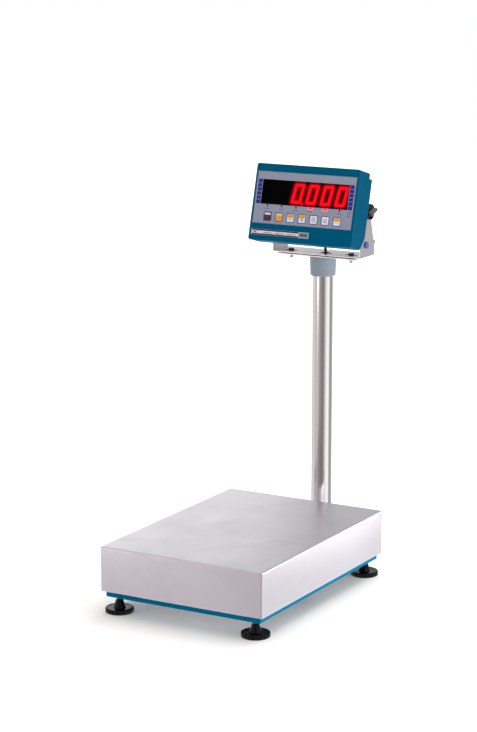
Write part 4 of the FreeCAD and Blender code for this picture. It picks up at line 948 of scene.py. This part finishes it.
class BENCH_OT_display(Step, bpy.types.Operator):
    """Display window with slanted seven-segment digits and the light that spreads round them"""
    bl_idname = "bench.display"
    bl_label = "Display"

    digit_wide = 0.0208
    digit_tall = 0.0368
    corner = 0.0034
    halo_reach = 0.0029

    def segments(self, sizes):
        """Outlines of the six outer segments of a zero, about its centre and before its slant.

        The outer corners are quarter circles, cut in half by the mitres, and a gap separates
        neighbours. One upper and one side outline are made, and mirrored across x and the rise.
        """
        half_x, half_y, wide = self.digit_wide / 2, self.digit_tall / 2, sizes.stroke
        gap = sizes.segment_gap / 2
        crest = arc((half_x - self.corner - gap, half_y - self.corner), self.corner, 45, 90, 3)
        flank = arc((half_x - self.corner, half_y - self.corner - gap), self.corner, 0, 45, 3)
        right = np.array([(half_x - wide - gap, half_y - wide), *crest])
        upper = np.concatenate([right, (right * (-1, 1))[::-1]])
        side = np.array([(half_x, gap), *flank, (half_x - wide, half_y - wide - gap),
                         (half_x - wide, 0.15 * wide), (half_x - 0.9 * wide, gap)])
        return ([upper * (1, up) for up in (-1, 1)]
                + [side * (across, up) for across in (-1, 1) for up in (-1, 1)])

    def build(self, sizes):
        low, high = leaned_box("display_window")
        front, crest = low[1], low[1] - sizes.print_height
        pitch, middle = (high[0] - low[0]) / DIGITS, (low[2] + high[2]) / 2
        centres = [high[0] - (index + 0.5) * pitch + 0.0008 for index in range(sizes.digits_lit)]
        slant = np.array([[1, 0], [math.tan(sizes.slant), 1]])
        outlines = [shape @ slant + (x, middle) for x in centres for shape in self.segments(sizes)]
        point = (centres[-1] + self.digit_wide / 2 - 0.0006, low[2] + 0.0042)
        outlines.append(disc_outline(point, 0.0021))
        rings, cores = [], []
        for outer in outlines:
            heart = outer.mean(0)
            share = 0.5 if outer is outlines[-1] else 0.55
            inner = heart + (outer - heart) * share
            rings.append(to_row(lay(outer, front, crest)
                                + lay(inner, front - 1.5 * sizes.print_height)))
            cores.append(np.repeat([0.0, 0.35, 1.0], len(outer)))
        digits = loft("lit_digits", rings, MATERIALS["lit"])
        weigh(digits.data, "core", np.concatenate(cores))
        attach(digits, "indicator", "digit_body")
        self.window(low, high, outlines)

    def window(self, low, high, outlines):
        """Window plate whose front is a grid that carries the halo of the lit segments."""
        columns, rows = 240, 64
        x, rise = np.meshgrid(np.linspace(low[0], high[0], columns),
                              np.linspace(low[2], high[2], rows))
        distance = np.full(x.shape, 1.0)
        for outline in outlines:
            for a, b in zip(outline, np.roll(outline, -1, axis=0)):
                along = b - a
                share = ((x - a[0]) * along[0] + (rise - a[1]) * along[1]) / (along @ along)
                share = np.clip(share, 0, 1)
                distance = np.minimum(distance, np.hypot(x - a[0] - share * along[0],
                                                         rise - a[1] - share * along[1]))
        halo = np.exp(-(distance / self.halo_reach) ** 2)
        grid = np.stack([x, np.full(x.shape, low[1]), rise], axis=2).reshape(-1, 3)
        centre, size = (low + high) / 2, high - low
        back = lay(bar(centre[0], centre[2], size[0], size[2]), high[1])[0]
        faces = grid_faces(rows, columns, wrap_columns=False)
        count = rows * columns
        index = np.arange(count).reshape(rows, columns)
        for edge, a, b in ((index[0], 0, 1), (index[:, -1], 1, 2), (index[-1][::-1], 2, 3),
                           (index[::-1, 0], 3, 0)):
            faces.append(edge.tolist() + [count + b, count + a])
        faces.append(list(range(count, count + 4)))
        pane = skin("display_pane", [(to_row(np.concatenate([grid, back])), faces)],
                    MATERIALS["window_film"], smooth=False)
        weigh(pane.data, "halo", np.append(halo.ravel(), [0] * 4))
        attach(pane, "indicator", "window_film", "display_window")


class BENCH_OT_keys(Step, bpy.types.Operator):
    """Keys: caps with rounded edges, printed with a strip and a plain sign"""
    bl_idname = "bench.keys"
    bl_label = "Keys"

    cap_depth = 0.0024
    strip_margin = 0.0007
    # finishes of the cap and of the strip, the strip's share of the height, and the sign's ink
    looks = (("key_black", "key_white", 0.24, "ink_red"),
             ("key_amber", "key_white", 0.24, "ink_dark"),
             ("key_white", "key_amber", 0.42, "ink_grey"),
             ("key_white", "key_amber", 0.42, "ink_grey"),
             ("key_white", None, 0, "ink_grey"),
             ("key_white", None, 0, "ink_grey"),
             ("key_white", "key_amber", 0.42, "ink_grey"))
    # outlines and bands of each sign, about the key's centre
    signs = (([bar(0, 0.0022, 0.0008, 0.0026)],
              [(disc_outline((0, 0), 0.0026), disc_outline((0, 0), 0.0018))]),
             ([bar(x, 0.0052, 0.0016, 0.0018) for x in (-0.0036, 0, 0.0036)], []),
             ([bar(0, rise, 0.006, 0.0007) for rise in (-0.0012, -0.0034)], []),
             ([np.array([[-0.002, -0.0036], [0.002, -0.0036], [0, 0.0008]])], []),
             ([bar(0, 0, 0.0009, 0.0052)], [thin_frame((0, 0), (0.003, 0.0038), 0.001)]),
             ([bar(0, -0.003, 0.0064, 0.0008)],
              [thin_frame((0, 0.0006), (0.003, 0.002), 0.0012)]),
             ([bar(x, -0.002, 0.0012, 0.0012) for x in (-0.003, 0, 0.003)], []))

    def build(self, sizes):
        for number, ((face, strip, share, ink), sign) in enumerate(zip(self.looks, self.signs),
                                                                   1):
            node, body = f"key_{number}", f"key_{number}_body"
            slot = SLOT_OF[node]
            low, high = leaned_box(node)
            centre = (low + high)[::2] / 2
            cap_high = np.array([high[0], low[1] + self.cap_depth, high[2]])
            cap = loft(f"key_cap_{number}", [to_row(slab(low, cap_high, 0.0012, 0.00045))],
                       MATERIALS[face])
            attach(cap, body, slot, node)
            stem = lay(disc_outline(centre, 0.003, 24), low[1] + 0.001, high[1])
            attach(loft(f"key_stem_{number}", [to_row(stem)], MATERIALS["key_black"]), body, slot)
            if strip:
                tall = share * (high[2] - low[2])
                top = bar(centre[0], high[2] - self.strip_margin - tall / 2,
                          high[0] - low[0] - 0.0016, tall)
                print_piece(f"key_strip_{number}", [top], low[1], strip, body, slot)
            outlines, bands = sign
            print_piece(f"key_sign_{number}", [outline + centre for outline in outlines],
                        low[1] - OVERPRINT, ink, body, slot,
                        [(outer + centre, inner + centre) for outer, inner in bands])


class BENCH_OT_knobs(Step, bpy.types.Operator):
    """Clamp knobs: black discs with tapered wings whose grey is partly their own colour and partly
    a painted highlight of facets that face the light
    """
    bl_idname = "bench.knobs"
    bl_label = "Knobs"

    wing_reach = 0.0065

    def build(self, sizes):
        for side, hand in enumerate(("left", "right")):
            node = "knob_" + hand
            outer = box(node)[side][0]
            # the wings' lighter grey is partly a painted highlight of facets that face the light
            second_finish(eased_copy("clamp_" + node, node, 0.0009), "wing_plastic",
                          lambda centre: abs(centre.x - outer) < self.wing_reach)
            eased_copy("pivot_" + node, "knob_stud_" + hand, 0.0003)


class BENCH_OT_cable(Step, bpy.types.Operator):
    """Load cell cable: a round tube along a smooth curve over the route's points"""
    bl_idname = "bench.cable"
    bl_label = "Cable"

    radius = 0.0025
    # millimetres from the post's axis, and above the floor
    route = ((10, -10.6, 592.9), (10, -11.6, 588.8), (10, -8.4, 577), (9.4, -7.2, 556),
             (0, 9, 46), (0, -30, 46), (0, -50, 34.8), (0, -115, 34.8), (-18, -165, 38),
             (-44, -205, 62), (-55, -240, 79.3), (-55, -270, 79.3))

    def build(self, sizes):
        post_low, post_high = box("post")
        line = (post_low[1] + post_high[1]) / 2
        curve = bpy.data.curves.new("cable_line", "CURVE")
        curve.dimensions = "3D"
        curve.bevel_depth = self.radius
        curve.bevel_resolution = 3
        curve.use_fill_caps = True
        spline = curve.splines.new("NURBS")
        spline.points.add(len(self.route) - 1)
        for point, (x, y, z) in zip(spline.points, self.route):
            point.co = (x / 1000, line + y / 1000, z / 1000, 1)
        spline.order_u = 3
        spline.use_endpoint_u = True
        spline.resolution_u = 12
        holder = in_scene("cable_holder", curve)
        bpy.context.view_layer.update()
        mesh = bpy.data.meshes.new_from_object(holder)
        bpy.data.objects.remove(holder)
        mesh.materials.clear()
        mesh.materials.append(MATERIALS["cable_jacket"])
        mesh.polygons.foreach_set("use_smooth", [True] * len(mesh.polygons))
        cable = in_scene("signal_cable", mesh)
        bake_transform(cable)
        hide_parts("load_cell_cable")
        # black ring that stands in for the shade inside the cable's slot
        self.bush(line)

    def bush(self, line):
        """Black oval ring round the cable on the yoke's base, a dark piece that stands in for the
        shade inside the cable's slot: a ring between two outlines.
        """
        base = box("yoke")[0][2] + 0.002
        middle = (0.0098, line - 0.008)
        outer = rounded_outline(0.0078, 0.0036, 0.0035, centre=middle)
        inner = rounded_outline(0.0026, 0.0026, 0.0025, centre=middle)
        rings = lay(outer, base, base + 0.0009, axis=2) + lay(inner, base + 0.0014, base, axis=2)
        bush = loft("cable_bush", [rings], MATERIALS["black_rubber"], closed=True)
        attach(bush, "base", "black_rubber")


class BENCH_OT_finishes(Step, bpy.types.Operator):
    """Procedural finish on each CAD node that stays"""
    bl_idname = "bench.finishes"
    bl_label = "Finishes"

    def build(self, sizes):
        for name, node in NODES.items():
            chosen = MATERIALS[SLOT_OF[name]]
            if not node.data.materials:
                node.data.materials.append(chosen)
            for holder in node.material_slots:
                holder.material = chosen


# ---------------------------------------------------------------- stage

def studio_world():
    """White surroundings: soft level for diffuse light, and tall soft bands in reflections."""
    world = bpy.data.worlds.new("Studio")
    bpy.context.scene.world = world
    world.use_nodes = True
    tree = world.node_tree
    tree.nodes.clear()
    rays = add(tree, "LightPath")
    parts = add(tree, "SeparateXYZ", {0: add(tree, "TexCoord")["Generated"]})
    turn = calc(tree, "ARCTAN2", parts[1], parts[0])
    plain, warm = (1, 1, 1), (1.05, 0.965, 1.0)
    stops = [(-180, 1.0, plain), (-168, 1.0, plain), (-152, 0.74, warm), (-138, 0.68, warm),
             (-124, 0.82, warm), (-112, 0.74, warm), (-99, 0.5, warm), (-80, 0.4, warm),
             (-62, 0.3, warm), (-50, 0.28, warm), (-41, 0.42, warm), (-31, 0.9, plain),
             (-15, 1.2, plain), (6, 1.5, plain), (18, 1.1, plain), (30, 0.4, warm),
             (60, 0.5, plain), (76, 0.75, plain), (104, 0.6, plain), (140, 0.8, plain)]
    ring = add(tree, "ValToRGB", {"Fac": remap(tree, turn, -math.pi, math.pi)})["Color"]
    ramp = ring.node.color_ramp
    while len(ramp.elements) < len(stops):
        ramp.elements.new(0.5)
    for element, (angle, level, tint) in zip(ramp.elements, stops):
        element.position = (angle + 180) / 360
        element.color = (*[level * share for share in tint], 1)
    below = remap(tree, parts[2], -0.28, -0.42)
    aside = remap(tree, turn, math.radians(30), math.radians(50))
    bands = mix(tree, calc(tree, "MULTIPLY", below, aside), ring, (1.8, 1.8, 1.9))
    seen = mix(tree, rays["Is Glossy Ray"], (1, 1, 1), bands)
    direct = calc(tree, "MAXIMUM", rays["Is Camera Ray"], rays["Is Glossy Ray"])
    direct = calc(tree, "MAXIMUM", direct, rays["Is Transmission Ray"])
    shown = mix(tree, direct, (0.62, 0.62, 0.63), seen)
    back = add(tree, "Background", {"Color": shown, "Strength": 1.0})
    add(tree, "OutputWorld", {"Surface": back[0]})


def lamp(name, place, aim, wide, tall, power, mirrored=True, piece=None, reach="INCLUDE"):
    """Soft rectangular lamp that looks at a point, and that metal mirrors or not.

    With a piece, it lights that piece alone ("INCLUDE") or everything but that ("EXCLUDE").
    """
    light = bpy.data.lights.new(name, "AREA")
    light.shape = "RECTANGLE"
    light.size, light.size_y = wide, tall
    light.energy = power
    holder = in_scene(name, light)
    holder.visible_camera = False
    holder.visible_glossy = mirrored
    holder.location = place
    holder.rotation_euler = (Vector(aim) - Vector(place)).to_track_quat("-Z", "Y").to_euler()
    if piece:
        group = bpy.data.collections.new(name + "_reach")
        group.objects.link(bpy.data.objects[piece])
        group.collection_objects[0].light_linking.link_state = reach
        holder.light_linking.receiver_collection = group


class BENCH_OT_stage(Step, bpy.types.Operator):
    """Pale floor, soft lamps, white surroundings and the camera"""
    bl_idname = "bench.stage"
    bl_label = "Stage"

    lamps = (
        ("key", (0.15, 0.78, 2.45), (0, 0, 0.2), 2.2, 2.2, 45, False),
        ("side", (1.0, 0.1, 0.12), (0.16, 0, 0.06), 0.8, 0.2, 4.2, False),
        ("rail_side", (1.0, 0.3, 0.1), (0.16, 0, 0.05), 0.8, 0.2, 5.5, False,
         "painted_rail_right"),
        ("rear_left", (-0.93, 1.02, 0.5), (-0.1, 0, 0.12), 0.8, 0.5, 0.85),
        ("front_left", (-0.95, -1.6, 0.35), (-0.1, -0.27, 0.08), 0.8, 0.5, 2, True, "steel_pan",
         "EXCLUDE"),
        ("pan_front", (-0.6, -0.9, 0.17), (-0.16, -0.27, 0.08), 0.4, 0.25, 0.42, True,
         "steel_pan"),
        ("pan_side", (1.05, 1.02, 0.14), (0.16, 0, 0.08), 0.5, 0.22, 6.6, True, "steel_pan"),
        ("pan_edge", (0.5, 1.6, 0.8), (0.16, 0, 0.12), 0.5, 0.4, 0.35, True, "steel_pan"),
        ("fill", (1.2, -2.2, 1.2), (0, 0, 0.4), 1.6, 1.2, 7, False))

    camera_turn = math.radians(29.747)
    camera_rise = math.radians(11.937)
    camera_reach = 4.0495
    camera_side = -0.01183
    camera_lift = 0.2936
    camera_lens = 113.9

    def floor(self):
        """Round pale floor; the camera sees it lifted to white, with the shadows kept."""
        made, tree, shader, place = material("pale_floor")
        cloud = surface(tree, place, 300, 2.0)["Cloud"]
        reach = add(tree, "VectorMath", {0: place["Object"]}, operation="LENGTH")["Value"]
        lift = remap(tree, reach, 0.5, 1.3, 0.13, 1.0)
        feed(tree, shader, {
            "Base Color": mix(tree, cloud, (0.90, 0.88, 0.855), (0.92, 0.90, 0.875)),
            "Roughness": 0.9, "Specular IOR Level": 0.0, "Emission Color": (1, 1, 1, 1),
            "Emission Strength": calc(tree, "MULTIPLY", lift,
                                      add(tree, "LightPath")["Is Camera Ray"])})
        rings = spin([(radius, 0) for radius in (0.01, 0.6, 1.4, 3, 7)], (0, 0), 64)
        faces = grid_faces(len(rings), 64) + [list(range(64))[::-1]]
        floor = skin("floor", [(np.concatenate(rings), faces)], made)
        if floor.data.polygons[0].normal.z < 0:
            floor.data.flip_normals()
        floor.visible_glossy = False

    def camera(self):
        """Camera round the middle of the pan's top."""
        low, high = box("pan")
        anchor = Vector((0, (low[1] + high[1]) / 2, high[2]))
        turn, rise = self.camera_turn, self.camera_rise
        back = Vector((math.sin(turn) * math.cos(rise), -math.cos(turn) * math.cos(rise),
                       math.sin(rise)))
        right = Vector((math.cos(turn), math.sin(turn), 0))
        data = bpy.data.cameras.new("camera")
        data.lens = self.camera_lens
        data.sensor_width = 36
        data.clip_end = 50
        camera = in_scene("camera", data)
        camera.matrix_world = Matrix((right, back.cross(right), back)).transposed().to_4x4()
        camera.location = (anchor + self.camera_side * right
                           + self.camera_lift * Vector((0, 0, 1)) + self.camera_reach * back)
        bpy.context.scene.camera = camera

    def build(self, sizes):
        studio_world()
        self.floor()
        for row in self.lamps:
            lamp(*row)
        self.camera()
        bpy.context.scene.view_settings.view_transform = "Standard"


# ---------------------------------------------------------------- add-on

STEPS = (BENCH_OT_pan, BENCH_OT_feet, BENCH_OT_base_frame, BENCH_OT_load_parts, BENCH_OT_post,
         BENCH_OT_collar, BENCH_OT_yoke, BENCH_OT_housing, BENCH_OT_overlay, BENCH_OT_display,
         BENCH_OT_keys, BENCH_OT_knobs, BENCH_OT_cable, BENCH_OT_finishes, BENCH_OT_stage)


class BENCH_PT_looks(bpy.types.Panel):
    """Buttons for each group of pieces, and the sizes and colours they use"""
    bl_label = "Bench scale"
    bl_space_type = "VIEW_3D"
    bl_region_type = "UI"
    bl_category = "Bench scale"

    def draw(self, context):
        for step in STEPS:
            self.layout.operator(step.bl_idname)
        for holder in (context.scene.bench_sizes, context.scene.bench_colours):
            for name in holder.__annotations__:
                self.layout.prop(holder, name)


CLASSES = (BenchScaleSizes, BenchScaleColours, *STEPS, BENCH_PT_looks)


def register():
    """Add the classes and their settings to Blender."""
    for item in CLASSES:
        bpy.utils.register_class(item)
    bpy.types.Scene.bench_sizes = PointerProperty(type=BenchScaleSizes)
    bpy.types.Scene.bench_colours = PointerProperty(type=BenchScaleColours)


def unregister():
    """Take the classes and their settings out of Blender."""
    del bpy.types.Scene.bench_colours
    del bpy.types.Scene.bench_sizes
    for item in reversed(CLASSES):
        bpy.utils.unregister_class(item)


def main():
    """Build everything in order."""
    register()
    build_materials()
    for step in STEPS:
        group, name = step.bl_idname.split(".")
        getattr(getattr(bpy.ops, group), name)()


if __name__ == "__main__":
    main()
